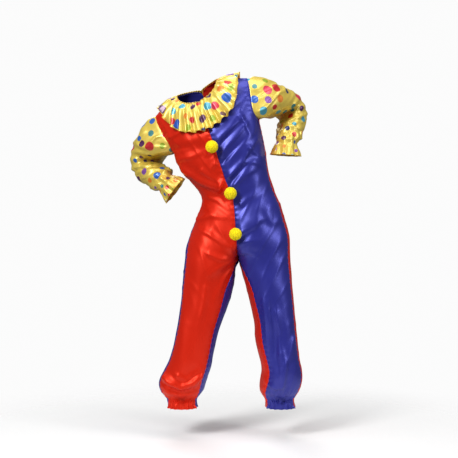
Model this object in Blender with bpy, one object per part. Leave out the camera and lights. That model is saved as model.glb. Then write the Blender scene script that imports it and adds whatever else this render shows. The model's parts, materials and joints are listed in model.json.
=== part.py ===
"""A clown's one-piece suit, worn with the hands on the hips and left as the cloth alone.

Four satin panels (red and blue, front and back, crossed over), two dotted sleeves,
a gathered dotted collar, a back placket and three yarn pompoms.
Metres, +Z up, the front faces -Y. The wearer's right side is at -X.
Run the script with: blender --background --python part.py
"""

import math

import bmesh
import bpy
import numpy as np
from mathutils import Matrix, Vector
from mathutils.bvhtree import BVHTree
from mathutils.kdtree import KDTree

# Cloth
WALL = 0.0015
SEAM_GAP = 0.0003
ARMHOLE_GAP = 0.0010
LONGEST_MITRE = 2.2  # most that the wall is drawn out where pieces meet at a sharp fold
RIGHT, LEFT = -1, 1

# Cut of the body, measured down the suit from the level of the underarm
SHOULDER_RUN = -0.20
UNDERARM_RUN = 0.0
CROTCH_RUN = 0.510
LEG_END_RUN = 1.060
ELASTIC_RUN = 1.092
HEM_RUN = 1.128
ROUNDNESS = 2.3  # exponent of the sections: 2 is an ellipse, more is squarer
SHOULDER_SEAM_Y = 0.020

# Meshes
PANEL_COLUMNS = 12
YOKE_ROWS = 10
TORSO_ROWS = 13
LEG_ROWS = 13
ANKLE_RUNS = (1.078, 1.090, 1.102, 1.118, HEM_RUN)
FINE = 2  # each column of cloth is divided by this below the elastic

# How far down the yoke the neck's edge meets the centre seam, as shares that fall on rows
FRONT_NECK, BACK_NECK = 0.50, 0.40

# The yoke, from the shoulder seam down to the underarm: (share down, inner x, inner z,
# outer x, outer z, half width, depth); z is above the underarm, in the leaning chest's frame
FRONT_YOKE = (
    (0.00, 0.090, 0.213, 0.205, 0.178, 0.240, 0.000),
    (0.12, 0.087, 0.206, 0.206, 0.164, 0.238, 0.030),
    (0.28, 0.076, 0.189, 0.203, 0.140, 0.233, 0.060),
    (0.42, 0.044, 0.170, 0.198, 0.114, 0.226, 0.081),
    (FRONT_NECK, 0.000, 0.158, 0.195, 0.098, 0.222, 0.092),
    (0.76, 0.000, 0.076, 0.185, 0.045, 0.205, 0.118),
    (1.00, 0.000, 0.000, 0.188, 0.000, 0.188, 0.128),
)
BACK_YOKE = (
    (0.00, 0.090, 0.213, 0.205, 0.178, 0.240, 0.000),
    (0.12, 0.078, 0.214, 0.206, 0.165, 0.238, 0.034),
    (0.26, 0.042, 0.209, 0.204, 0.144, 0.234, 0.058),
    (BACK_NECK, 0.000, 0.195, 0.200, 0.118, 0.228, 0.076),
    (0.58, 0.000, 0.130, 0.195, 0.084, 0.220, 0.098),
    (0.78, 0.000, 0.066, 0.187, 0.042, 0.205, 0.114),
    (1.00, 0.000, 0.000, 0.188, 0.000, 0.188, 0.122),
)

# Sections from the underarm to the hem: (run, ring centre x, half width, front depth,
# back depth, side seam degrees round from the front, inseam degrees round from the front)
SECTIONS = (
    (0.000, 0.000, 0.188, 0.128, 0.122, 90, 90),
    (0.090, 0.000, 0.179, 0.124, 0.113, 90, 90),
    (0.200, 0.000, 0.150, 0.116, 0.107, 88, 90),
    (0.255, 0.000, 0.146, 0.116, 0.112, 86, 90),
    (0.310, 0.000, 0.176, 0.122, 0.126, 82, 90),
    (0.410, 0.030, 0.178, 0.126, 0.140, 74, 90),
    (0.455, 0.060, 0.154, 0.126, 0.142, 70, 90),
    (0.485, 0.086, 0.131, 0.124, 0.140, 67, 90),
    (0.500, 0.100, 0.116, 0.122, 0.138, 65, 90),
    (0.510, 0.109, 0.109, 0.120, 0.136, 64, 90),
    (0.560, 0.117, 0.107, 0.113, 0.129, 61, 72),
    (0.680, 0.136, 0.099, 0.104, 0.114, 58, 58),
    (0.830, 0.164, 0.087, 0.094, 0.098, 58, 58),
    (0.925, 0.182, 0.088, 0.093, 0.098, 60, 58),
    (0.990, 0.196, 0.095, 0.098, 0.103, 62, 58),
    (1.035, 0.202, 0.096, 0.099, 0.103, 62, 58),
    (1.070, 0.199, 0.078, 0.080, 0.084, 62, 60),
    (1.092, 0.200, 0.058, 0.060, 0.062, 62, 62),
    (HEM_RUN, 0.202, 0.061, 0.063, 0.065, 62, 62),
)

# The pose of the trunk: (run, x, y, z from the crotch, lean to the wearer's right,
# lean forwards, turn to the wearer's right), the last three in degrees
TRUNK = (
    (0.000, -0.084, -0.034, 0.496, 22.5, 8.0, 10.0),
    (0.090, -0.056, -0.024, 0.412, 20.0, 7.0, 11.0),
    (0.190, -0.018, -0.012, 0.320, 14.5, 4.0, 13.0),
    (0.260, 0.005, -0.006, 0.254, 10.0, 3.0, 12.0),
    (0.310, 0.008, -0.002, 0.203, 7.0, 2.0, 10.0),
    (0.410, 0.008, 0.000, 0.101, 3.0, 1.0, 6.0),
    (0.510, 0.001, 0.000, 0.000, 1.0, 0.0, 1.0),
    (0.560, 0.000, 0.000, -0.050, 0.0, 0.0, 0.0),
    (1.138, 0.000, 0.000, -0.628, 0.0, 0.0, 0.0),
)

# The stance of each leg: (run, step out, forward, pressed wider by, inseam turned to the
# front and side seam turned to the back, both in degrees)
STANCE = {
    RIGHT: (
        (0.510, 0.000, 0.000, 0.000, 0, 0),
        (0.560, -0.003, 0.003, 0.002, 7, 3),
        (0.630, -0.007, 0.006, 0.006, 20, 8),
        (0.680, -0.006, 0.008, 0.004, 16, 10),
        (0.830, 0.004, 0.014, 0.000, 10, 10),
        (0.925, 0.007, 0.008, 0.001, 8, 10),
        (0.990, 0.017, 0.000, 0.004, 8, 8),
        (1.035, 0.031, -0.006, 0.007, 8, 6),
        (1.092, 0.029, -0.010, 0.002, 0, 4),
        (HEM_RUN, 0.024, -0.010, 0.000, 0, 4),
    ),
    LEFT: (
        (0.510, 0.000, 0.000, 0.000, 0, 0),
        (0.560, 0.003, 0.003, -0.003, 5, 0),
        (0.630, 0.005, 0.006, -0.005, 14, 2),
        (0.680, 0.005, 0.008, -0.005, 12, 4),
        (0.760, 0.004, 0.012, -0.004, 14, 4),
        (0.850, -0.006, 0.014, 0.003, 18, 4),
        (0.925, -0.006, 0.008, -0.006, 18, 4),
        (0.990, -0.007, 0.000, -0.009, 22, 4),
        (1.035, -0.024, -0.006, -0.004, 18, 2),
        (1.092, -0.024, -0.010, 0.000, 4, 0),
        (HEM_RUN, -0.022, -0.010, 0.000, 0, 0),
    ),
}

# The arms, from the crotch: the corner of the elbow and the middle of the cuff's elastic
ELBOW = {RIGHT: Vector((-0.406, 0.128, 0.406)), LEFT: Vector((0.246, 0.112, 0.636))}
CUFF = {RIGHT: Vector((-0.296, -0.012, 0.312)), LEFT: Vector((0.206, 0.008, 0.480))}
# Below the elastic the frill turns from the forearm's way to this one
DROOP = {RIGHT: Vector((0.80, -0.06, -0.60)), LEFT: Vector((-0.06, 0.02, -1.00))}
DROOP_LENGTH = 0.030
ELBOW_RADIUS = 0.040
CREASE_HEIGHT = 0.0055
CREASE_SPACING = 0.052
CREASE_SPREAD = 0.085
FRILL_LENGTH = 0.055
CAP_LENGTH = 0.100  # over which the armhole's loop turns into the sleeve's ring
CAP_PUFF = 0.014
SLEEVE_COLUMNS = 2 * YOKE_ROWS
SLEEVE_ROWS = 14
CUFF_ROWS = (-0.024, -0.010, 0.004, 0.020, 0.038, FRILL_LENGTH)  # past the cuff's elastic
# (share of the way from the armhole to the cuff, half width in the arm's plane, across it)
SLEEVE = (
    (0.00, 0.092, 0.078),
    (0.25, 0.080, 0.081),
    (0.45, 0.069, 0.077),
    (0.60, 0.062, 0.070),
    (0.80, 0.058, 0.062),
    (0.92, 0.051, 0.054),
    (1.00, 0.040, 0.042),
)
# Below the elastic: (metres past it, half width)
CUFF_FRILL = ((0.000, 0.041), (0.012, 0.046), (0.032, 0.056), (0.055, 0.062))
CUFF_WAVES = 10
CUFF_WAVE_DEPTH = 0.007
ANKLE_WAVES = 6  # on each of the front and back halves of a leg
ANKLE_WAVE_DEPTH = 0.005

# The collar, sewn in at the neck and open at the back: (degrees round from the front, length)
COLLAR_LENGTHS = ((0, 0.128), (45, 0.121), (90, 0.087), (135, 0.106), (180, 0.112))
COLLAR_WAVES = 24
COLLAR_COLUMNS = 4 * COLLAR_WAVES
COLLAR_ROWS = 4
COLLAR_WAVE_DEPTH = 0.013
COLLAR_SLIT = 0.0030  # between each end and the centre back
COLLAR_SWAY = (5, 0.35)  # waves drift back and forth this often, by this many radians
NECK_MIDDLE = Vector((0.0, 0.010, 0.190))  # in the chest's frame
COLLAR_LIFT = 0.0025  # above the panels at the neck's edge
COLLAR_RISE = 0.0065  # and this much more further out

POMPOM_RADIUS = 0.026
POMPOM_CORE = 0.017
POMPOM_GAP = 0.0004
POMPOM_RUNS = (0.017, 0.227, 0.409)
PLACKET_LIFT = 0.0006
PLACKET_THICKNESS = 0.0018
PLACKET_INSET = 0.0008  # narrower than its column by this at each side
PLACKET_LAST_ROW = 18

# The largest folds, in the plan of the front view, from the crotch:
# (half width, height, then the points that the fold runs through as x, z); a trough's
# height is negative
FRONT_FOLDS = (
    (0.024, 0.010, (-0.002, 0.570), (-0.050, 0.535), (-0.098, 0.490)),
    (0.022, 0.011, (0.058, 0.482), (-0.006, 0.418), (-0.038, 0.347)),
    (0.022, 0.011, (0.089, 0.403), (0.030, 0.351), (-0.042, 0.306)),
    (0.022, 0.009, (0.081, 0.331), (0.010, 0.283)),
    (0.034, 0.015, (0.181, 0.190), (0.100, 0.206), (0.036, 0.146)),
    (0.018, -0.010, (0.189, 0.146), (0.116, 0.136), (0.100, 0.158), (0.044, 0.116)),
    (0.022, 0.011, (0.109, 0.118), (0.039, 0.076), (0.010, 0.040)),
    (0.022, 0.009, (0.097, 0.066), (0.022, 0.012)),
    (0.030, 0.010, (0.213, -0.290), (0.177, -0.436), (0.145, -0.517)),
    (0.026, -0.008, (0.168, -0.320), (0.136, -0.420)),
    (0.030, 0.008, (0.125, -0.090), (0.117, -0.262)),
    (0.022, 0.008, (0.121, -0.537), (0.209, -0.545)),
    (0.026, 0.010, (-0.209, 0.470), (-0.118, 0.492)),
    (0.020, -0.008, (-0.200, 0.436), (-0.118, 0.452)),
    (0.026, 0.010, (-0.235, 0.407), (-0.149, 0.383), (-0.102, 0.355)),
    (0.024, 0.016, (-0.222, 0.350), (-0.173, 0.319), (-0.102, 0.294), (-0.050, 0.284)),
    (0.020, -0.014, (-0.180, 0.276), (-0.102, 0.252), (-0.046, 0.250)),
    (0.022, 0.010, (-0.150, 0.200), (-0.094, 0.176), (-0.060, 0.130)),
    (0.024, 0.009, (-0.008, 0.052), (-0.064, 0.010)),
    (0.026, 0.010, (-0.034, -0.006), (-0.114, -0.051)),
    (0.032, 0.008, (-0.130, 0.120), (-0.150, -0.020), (-0.170, -0.220)),
    (0.030, 0.008, (-0.235, -0.240), (-0.215, -0.420)),
    (0.022, -0.009, (-0.280, -0.470), (-0.222, -0.505), (-0.172, -0.462)),
    (0.020, 0.012, (-0.309, -0.513), (-0.229, -0.533), (-0.173, -0.505), (-0.130, -0.440)),
)
BACK_FOLDS = (
    (0.026, 0.010, (-0.230, 0.530), (-0.160, 0.470), (-0.080, 0.400)),
    (0.026, 0.010, (0.040, 0.560), (-0.010, 0.490), (-0.070, 0.430)),
    (0.024, 0.012, (0.110, 0.390), (0.050, 0.330), (-0.030, 0.300)),
    (0.024, 0.014, (-0.200, 0.350), (-0.130, 0.305), (-0.040, 0.275)),
    (0.020, -0.010, (-0.190, 0.290), (-0.120, 0.262), (-0.040, 0.240)),
    (0.028, 0.010, (0.150, 0.240), (0.080, 0.200), (0.020, 0.190)),
    (0.028, 0.011, (0.170, 0.060), (0.090, 0.040), (0.030, 0.000)),
    (0.028, 0.011, (-0.170, 0.070), (-0.090, 0.045), (-0.030, 0.005)),
    (0.026, 0.010, (-0.150, -0.030), (-0.080, -0.120)),
    (0.026, 0.010, (0.140, -0.040), (0.080, -0.140)),
    (0.032, 0.009, (-0.170, -0.180), (-0.200, -0.400)),
    (0.032, 0.009, (0.160, -0.200), (0.150, -0.420)),
    (0.022, 0.011, (-0.300, -0.500), (-0.230, -0.530), (-0.150, -0.500)),
    (0.022, 0.011, (0.110, -0.510), (0.170, -0.535), (0.230, -0.510)),
)

# Colours and finishes: (red, green, blue), roughness
FINISHES = {
    "red_satin": ((0.78, 0.035, 0.012), 0.34),
    "blue_satin": ((0.035, 0.032, 0.36), 0.34),
    "dotted_satin": ((0.86, 0.66, 0.10), 0.36),
    "yellow_yarn": ((0.93, 0.80, 0.010), 0.90),
}


def smooth_through(rows, column):
    """A function that runs smoothly through one column of a table, without overshooting."""
    at = np.array([row[0] for row in rows], float)
    value = np.array([row[column] for row in rows], float)
    step = np.diff(at)
    slope = np.diff(value) / step
    tangent = np.zeros(len(at))
    tangent[0], tangent[-1] = slope[0], slope[-1]
    for i in range(1, len(at) - 1):
        if slope[i - 1] * slope[i] > 0:
            before, after = step[i - 1], step[i]
            weight = (2 * after + before, after + 2 * before)
            tangent[i] = sum(weight) / (weight[0] / slope[i - 1] + weight[1] / slope[i])

    def read(x):
        x = min(max(x, at[0]), at[-1])
        i = min(int(np.searchsorted(at, x, side="right")) - 1, len(at) - 2)
        t = (x - at[i]) / step[i]
        return float(
            value[i] * (1 + 2 * t) * (1 - t) ** 2
            + tangent[i] * step[i] * t * (1 - t) ** 2
            + value[i + 1] * t * t * (3 - 2 * t)
            + tangent[i + 1] * step[i] * t * t * (t - 1)
        )

    return read


def readers(rows):
    """One smooth function for each column after the first."""
    return [smooth_through(rows, column) for column in range(1, len(rows[0]))]


READ_YOKE = {False: readers(FRONT_YOKE), True: readers(BACK_YOKE)}
READ_SECTIONS = readers(SECTIONS)
READ_TRUNK = readers(TRUNK)
READ_STANCE = {side: readers(rows) for side, rows in STANCE.items()}


def ease(t):
    """0 below 0, 1 above 1 and a smooth step between."""
    t = min(max(t, 0.0), 1.0)
    return t * t * (3 - 2 * t)


def rounded(value):
    """A sine or cosine pushed outwards, for a section squarer than an ellipse."""
    return math.copysign(abs(value) ** (2 / ROUNDNESS), value)


def angle_at(share):
    """Degrees round a section at which its width has grown to this share."""
    return math.degrees(math.asin(min(max(share, 0.0), 1.0) ** (ROUNDNESS / 2)))


def trunk_frame(run):
    """The leaning, turning frame of the trunk at this run, as a matrix."""
    x, y, z, lean, stoop, turn = (read(max(run, 0.0)) for read in READ_TRUNK)
    tilt = Matrix.Rotation(-math.radians(lean), 4, "Y") @ Matrix.Rotation(
        math.radians(stoop), 4, "X"
    )
    return (
        Matrix.Translation((x, y, z))
        @ tilt
        @ Matrix.Rotation(-math.radians(turn), 4, "Z")
    )


# The wearer's shoulders carry the suit: this point between them is the origin
HELD_AT = trunk_frame(0.0) @ Vector((0.0, SHOULDER_SEAM_Y, 0.200))


def off_line(here, line):
    """How far a point of the plan is from a line through several points."""
    nearest = math.inf
    for start, end in zip(line, line[1:]):
        along = Vector(end) - Vector(start)
        share = (here - Vector(start)).dot(along) / along.length_squared
        on_line = Vector(start) + along * min(max(share, 0.0), 1.0)
        nearest = min(nearest, (here - on_line).length)
    return nearest


def fold_height(point, back, fade):
    """How far the folds lift the cloth at a point of the front view."""
    here = Vector((point.x, point.z))
    height = 0.0
    for width, rise, *line in BACK_FOLDS if back else FRONT_FOLDS:
        height += rise * math.exp(-((off_line(here, line) / width) ** 2))
    return height * fade


def ankle_wave(across, run):
    """The frill below the ankle's elastic, and the small gathers just above it."""
    below = ease((run - ELASTIC_RUN) / (HEM_RUN - ELASTIC_RUN))
    above = 0.35 * math.exp(-(((run - ELASTIC_RUN + 0.014) / 0.012) ** 2))
    swing = math.cos(2 * math.pi * ANKLE_WAVES * across)
    return ANKLE_WAVE_DEPTH * max(below, above) * swing


def suit_point(side, back, across, run):
    """A point of a body panel's outer face. across is 0 at the centre seam, the neck or
    the inseam, and 1 at the armhole or the side seam."""
    frame = trunk_frame(run)
    facing = 1 if back else -1
    if run < UNDERARM_RUN:
        share = 1 - run / SHOULDER_RUN
        inner_x, inner_z, outer_x, outer_z, width, depth = (
            read(share) for read in READ_YOKE[back]
        )
        first, last = angle_at(inner_x / width), angle_at(outer_x / width)
        turn = math.radians(first + (last - first) * across)
        x = width * rounded(math.sin(turn))
        y = SHOULDER_SEAM_Y * (1 - share**2) + facing * depth * rounded(math.cos(turn))
        local = Vector((side * x, y, inner_z + (outer_z - inner_z) * across))
        fade = ease(share * 1.6) * ease((1 - across) * 5)
    else:
        ring_x, width, front, rear, side_seam, inseam = (
            read(run) for read in READ_SECTIONS
        )
        step, forward = 0.0, 0.0
        if run <= CROTCH_RUN:
            centre = angle_at(ring_x / width)
            first = 180 + centre if back else -centre
        else:
            pose = [read(run) for read in READ_STANCE[side]]
            step, forward, wider, inseam_turned, side_turned = pose
            width, front, rear = width + wider, front - wider, rear - wider
            first = inseam_turned - inseam + (360 if back else 0)
            side_seam += side_turned
        turn = math.radians(first + (side_seam - first) * across)
        lift = ankle_wave(across, run)
        x = ring_x + step + (width + lift) * rounded(math.sin(turn))
        depth = front if math.cos(turn) > 0 else rear
        y = -forward - (depth + lift) * rounded(math.cos(turn))
        local = Vector((side * x, y, 0.0))
        inner_fade = ease(across * 5) if run > CROTCH_RUN - 0.02 else 1.0
        fade = ease((1 - across) * 5) * inner_fade * ease((ELASTIC_RUN - run) / 0.05)
    point = frame @ local
    outwards = frame.to_3x3() @ Vector((0.0, facing, 0.0))
    return point + outwards * fold_height(point, back, fade)


def panel_runs():
    """The runs of a panel's rows: even in the yoke, the trunk and the leg, close at the ankle."""
    yoke = np.linspace(SHOULDER_RUN, UNDERARM_RUN, YOKE_ROWS + 1)
    torso = np.linspace(UNDERARM_RUN, CROTCH_RUN, TORSO_ROWS + 1)[1:]
    leg = np.linspace(CROTCH_RUN, LEG_END_RUN, LEG_ROWS + 1)[1:]
    return [*yoke, *torso, *leg, *ANKLE_RUNS]


PANEL_RUNS = panel_runs()
ANKLE_ROW = YOKE_ROWS + TORSO_ROWS + LEG_ROWS


def armhole_point(side, around):
    """A point of the armhole: around is 0 at the underarm, 0.5 at the shoulder seam, and
    goes up the front and down the back."""
    back = around > 0.5
    share = 2 * (1 - around) if back else 2 * around
    return suit_point(side, back, 1.0, UNDERARM_RUN + (SHOULDER_RUN - UNDERARM_RUN) * share)


class Arm:
    """The sleeve's middle line: straight, round the elbow, straight to the cuff, in one plane."""

    def __init__(self, side):
        loop = [armhole_point(side, i / 20) for i in range(20)]
        self.start = sum(loop, Vector()) / len(loop)
        elbow, cuff = ELBOW[side], CUFF[side]
        self.out = (elbow - self.start).normalized()
        self.away = trunk_frame(UNDERARM_RUN).to_3x3() @ Vector((side, 0.0, 0.0))
        self.back = (cuff - elbow).normalized()
        self.droop = DROOP[side].normalized()
        self.across = self.out.cross(self.back).normalized()
        bend = self.out.angle(self.back)
        self.bend = bend
        cut = ELBOW_RADIUS * math.tan(bend / 2)
        self.upper = (elbow - self.start).length - cut
        self.arc = ELBOW_RADIUS * bend
        self.lower = (cuff - elbow).length - cut
        self.length = self.upper + self.arc + self.lower
        self.turn_from = self.start + self.out * self.upper
        self.centre = self.turn_from + self.across.cross(self.out) * ELBOW_RADIUS
        self.resume = elbow + self.back * cut
        underarm = armhole_point(side, 0.0) - self.start
        front = armhole_point(side, 0.25) - self.start
        inwards = self.across.cross(self.out)
        self.first = math.atan2(underarm.dot(self.across), underarm.dot(inwards))
        quarter = math.atan2(front.dot(self.across), front.dot(inwards))
        gap = (quarter - self.first + math.pi) % (2 * math.pi) - math.pi
        self.sense = math.copysign(1.0, gap)

    def at(self, distance):
        """The middle point, the way towards the inside of the elbow and the way across."""
        past_cuff = distance - self.length
        if past_cuff > 0:
            turned = ease(past_cuff / DROOP_LENGTH)
            along = self.back.lerp(self.droop, turned).normalized()
            way = self.back.lerp(self.droop, 0.7 * turned).normalized()
            middle = self.resume + self.back * self.lower + way * past_cuff
        elif distance < self.upper:
            middle, along = self.start + self.out * distance, self.out
        elif distance < self.upper + self.arc:
            turned = Matrix.Rotation((distance - self.upper) / ELBOW_RADIUS, 3, self.across)
            middle = self.centre + turned @ (self.turn_from - self.centre)
            along = turned @ self.out
        else:
            past = distance - self.upper - self.arc
            middle, along = self.resume + self.back * past, self.back
        across = (self.across - along * self.across.dot(along)).normalized()
        return middle, across.cross(along), across

    def room(self, distance):
        """How wide a ring may be towards the inside of the elbow without crossing itself."""
        past = max(self.upper - distance, distance - self.upper - self.arc, 0.0)
        return ELBOW_RADIUS - 0.004 + past * math.tan((math.pi - self.bend) / 2)


READ_SLEEVE = readers(SLEEVE)
READ_FRILL = readers(CUFF_FRILL)[0]


def sleeve_point(side, arm, around, distance):
    """A point of a sleeve's outer face, this far down from the armhole."""
    middle, inwards, beside_way = arm.at(distance)
    angle = arm.first + arm.sense * 2 * math.pi * around
    past = distance - arm.length
    if past <= 0:
        in_plane, across = (read(distance / arm.length) for read in READ_SLEEVE)
        gather = 0.35 * math.exp(-(((past + 0.012) / 0.012) ** 2))
    else:
        in_plane = across = READ_FRILL(past)
        gather = ease(past / FRILL_LENGTH)
    wave = CUFF_WAVE_DEPTH * gather * math.cos(2 * math.pi * CUFF_WAVES * around)
    wide, narrow = in_plane + wave, across + wave
    towards = math.cos(angle) * wide
    if towards > 0:
        room = arm.room(distance)
        towards = room * math.tanh(towards / room)
    crease = elbow_creases(arm, distance, angle)
    towards += crease * math.cos(angle)
    beside = math.sin(angle) * (narrow + crease)
    ring = middle + inwards * towards + beside_way * beside
    if distance > CAP_LENGTH:
        return ring
    share = distance / CAP_LENGTH
    topside = (1 - math.cos(2 * math.pi * around)) / 2
    way = arm.out.lerp(arm.away, 0.7 * (1 - topside) ** 2).normalized()
    cap = armhole_point(side, around) + way * distance
    puff = (ring - middle).normalized() * CAP_PUFF * topside * math.sin(math.pi * share)
    return cap.lerp(ring, ease(share)) + puff


def elbow_creases(arm, distance, angle):
    """Soft creases that run round the sleeve near the elbow and die out on its outside."""
    middle = arm.upper + arm.arc / 2
    past = distance - middle
    spread = math.exp(-((past / CREASE_SPREAD) ** 2))
    ripple = math.cos(2 * math.pi * past / CREASE_SPACING + 0.8 * math.sin(angle))
    return CREASE_HEIGHT * spread * ripple * (0.6 - 0.4 * math.cos(angle))


def neck_point(quarter):
    """The neck's edge by quarters: 0 at the centre front, 1 at the wearer's left
    shoulder, 2 at the centre back, 3 at the right shoulder."""
    side = LEFT if quarter < 2 else RIGHT
    share = quarter if quarter < 2 else 4 - quarter
    back = share > 1
    neck_share = BACK_NECK if back else FRONT_NECK
    run_share = neck_share * ((share - 1) if back else (1 - share))
    return suit_point(side, back, 0.0, SHOULDER_RUN * (1 - run_share))


def neck_edge(count):
    """Points at even steps along the neck's edge, from the centre back round by the
    wearer's right shoulder to the centre back again, with the front in the middle."""
    fine = 60
    quarters = [(2 + i / fine) % 4 for i in range(4 * fine)]
    line = [neck_point(quarter) for quarter in quarters]
    line.append(line[0])
    along = np.cumsum([0.0] + [(b - a).length for a, b in zip(line, line[1:])])
    places = np.linspace(COLLAR_SLIT, along[-1] - COLLAR_SLIT, count)
    flat = np.array(line)
    return [Vector([np.interp(place, along, flat[:, k]) for k in range(3)]) for place in places]


def flat_cloth(columns, rows, fine_from=None):
    """A flat grid: x is the share across and y the row. Rows from fine_from on have finer
    columns."""
    cloth = bmesh.new()
    bmesh.ops.create_grid(cloth, x_segments=columns, y_segments=rows, size=0.5)
    for vert in cloth.verts:
        vert.co = Vector((vert.co.x + 0.5, (vert.co.y + 0.5) * rows, 0.0))
    if fine_from is not None:
        edges = [
            e
            for e in cloth.edges
            if abs(e.verts[0].co.y - e.verts[1].co.y) < 0.5
            and e.verts[0].co.y > fine_from - 0.5
        ]
        bmesh.ops.subdivide_edges(cloth, edges=edges, cuts=FINE - 1, use_grid_fill=True)
    return cloth


def run_at(runs, row):
    """The run at a row number, which may lie between two rows."""
    return float(np.interp(row, range(len(runs)), runs))


class Piece:
    """A flat cloth with a function that gives its place on the suit."""

    def __init__(self, name, finish, cloth, place, runs, inside_out, sewn):
        self.name, self.finish, self.cloth = name, finish, cloth
        self.place, self.runs, self.inside_out, self.sewn = place, runs, inside_out, sewn
        self.top_gap = SEAM_GAP / 2 if "sides" in sewn else ARMHOLE_GAP

    def outer(self, vert):
        return self.place(vert.co.x, run_at(self.runs, vert.co.y))

    def drawn_in(self, vert):
        """The outer point, moved half a seam's gap back from each sewn edge."""
        across, row = vert.co.x, vert.co.y
        point = self.outer(vert)
        half = SEAM_GAP / 2
        small = 1e-3
        if "sides" in self.sewn and (across < 1e-6 or across > 1 - 1e-6):
            inwards = small if across < 0.5 else -small
            beside = self.place(across + inwards, run_at(self.runs, row))
            point = point + (beside - point).normalized() * half
        if "top" in self.sewn and row < 1e-6:
            below = self.place(across, run_at(self.runs, small * 10))
            point = point + (below - point).normalized() * self.top_gap
        return point


def body_pieces():
    pieces = []
    for side, back, name, finish in (
        (RIGHT, False, "front_right", "red_satin"),
        (LEFT, False, "front_left", "blue_satin"),
        (RIGHT, True, "back_right", "blue_satin"),
        (LEFT, True, "back_left", "red_satin"),
    ):
        cloth = flat_cloth(PANEL_COLUMNS, len(PANEL_RUNS) - 1, ANKLE_ROW)

        def place(across, run, side=side, back=back):
            return suit_point(side, back, across, run)

        pieces.append(
            Piece(
                name,
                finish,
                cloth,
                place,
                PANEL_RUNS,
                (side == LEFT) != back,
                ("sides", "top"),
            )
        )
    return pieces


def sleeve_pieces():
    pieces = []
    for side, name in ((RIGHT, "sleeve_right"), (LEFT, "sleeve_left")):
        arm = Arm(side)
        plain = np.linspace(0.0, arm.length + CUFF_ROWS[0], SLEEVE_ROWS + 1)
        runs = [*plain, *(arm.length + past for past in CUFF_ROWS[1:])]
        cloth = flat_cloth(SLEEVE_COLUMNS, len(runs) - 1, SLEEVE_ROWS + 1)

        def place(around, distance, side=side, arm=arm):
            return sleeve_point(side, arm, around, distance)

        pieces.append(
            Piece(name, "dotted_satin", cloth, place, runs, side == LEFT, ("top",))
        )
    return pieces


def sewn_walls(pieces):
    """The whole suit sewn together, as a function that gives the way and the distance
    from its outer face to its inner face at a place, and as a surface."""
    suit = bmesh.new()
    for piece in pieces:
        shape = piece.cloth.copy()
        for vert in shape.verts:
            vert.co = piece.outer(vert)
        if piece.inside_out:
            bmesh.ops.reverse_faces(shape, faces=shape.faces)
        mesh = bpy.data.meshes.new("sewn")
        shape.to_mesh(mesh)
        shape.free()
        suit.from_mesh(mesh)
        bpy.data.meshes.remove(mesh)
    bmesh.ops.remove_doubles(suit, verts=suit.verts, dist=1e-5)
    suit.normal_update()
    tree = KDTree(len(suit.verts))
    walls = []
    for index, vert in enumerate(suit.verts):
        mitre = min(vert.calc_shell_factor(), LONGEST_MITRE)
        walls.append(vert.normal * WALL * mitre)
        tree.insert(vert.co, index)
    tree.balance()
    surface = BVHTree.FromBMesh(suit)
    suit.free()
    return (lambda point: walls[tree.find(point)[1]]), surface


def make_object(name, shape, finish):
    """Puts a finished shape into the scene, in the suit's own frame."""
    bmesh.ops.recalc_face_normals(shape, faces=shape.faces)
    bmesh.ops.translate(shape, verts=shape.verts, vec=-HELD_AT)
    mesh = bpy.data.meshes.new(name)
    shape.to_mesh(mesh)
    shape.free()
    mesh.shade_smooth()
    mesh.materials.append(finish)
    thing = bpy.data.objects.new(name, mesh)
    bpy.data.collections["clown_suit"].objects.link(thing)
    return thing


def walled(shape, inner_of):
    """Gives an open sheet its wall: each point's partner on the other face is inner_of it."""
    sheet = list(shape.faces)
    made = bmesh.ops.extrude_face_region(shape, geom=sheet, use_keep_orig=True)
    for vert in [v for v in made["geom"] if isinstance(v, bmesh.types.BMVert)]:
        vert.co = inner_of(vert.co)


def sew(piece, wall_at, materials):
    """Places a flat piece on the suit and gives it its wall."""
    shape = piece.cloth
    inner = {}
    for vert in shape.verts:
        wall = wall_at(piece.outer(vert))
        vert.co = piece.drawn_in(vert)
        inner[vert.co.to_tuple(6)] = vert.co - wall
    bmesh.ops.remove_doubles(shape, verts=shape.verts, dist=1e-5)
    walled(shape, lambda point: inner[point.to_tuple(6)])
    return make_object(piece.name, shape, materials[piece.finish])


def collar_line(start, length, surface):
    """The points of one of the collar's columns as it would lie flat on the suit, from
    the neck's edge out, all in one plane through the neck's middle line."""
    frame = trunk_frame(0.0)
    up = frame.to_3x3() @ Vector((0.0, 0.0, 1.0))
    radial = start - frame @ NECK_MIDDLE
    radial = (radial - up * radial.dot(up)).normalized()
    beside = up.cross(radial)
    step = length / COLLAR_ROWS
    points, way = [start], radial
    for _ in range(COLLAR_ROWS):
        place, _, _, _ = surface.find_nearest(points[-1] + way * step)
        place -= beside * (place - start).dot(beside)
        way = (place - points[-1]).normalized()
        points.append(points[-1] + way * step)
    return points


def collar_lift(around, share):
    """How far the collar stands off the suit: its ruffles grow from the neck outwards."""
    times, drift = COLLAR_SWAY
    sway = drift * math.sin(2 * math.pi * times * around + 1.0)
    wave = (1 + math.cos(2 * math.pi * COLLAR_WAVES * around + sway)) / 2
    return COLLAR_LIFT + COLLAR_RISE * ease(share * 2.5) + COLLAR_WAVE_DEPTH * share * wave


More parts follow.
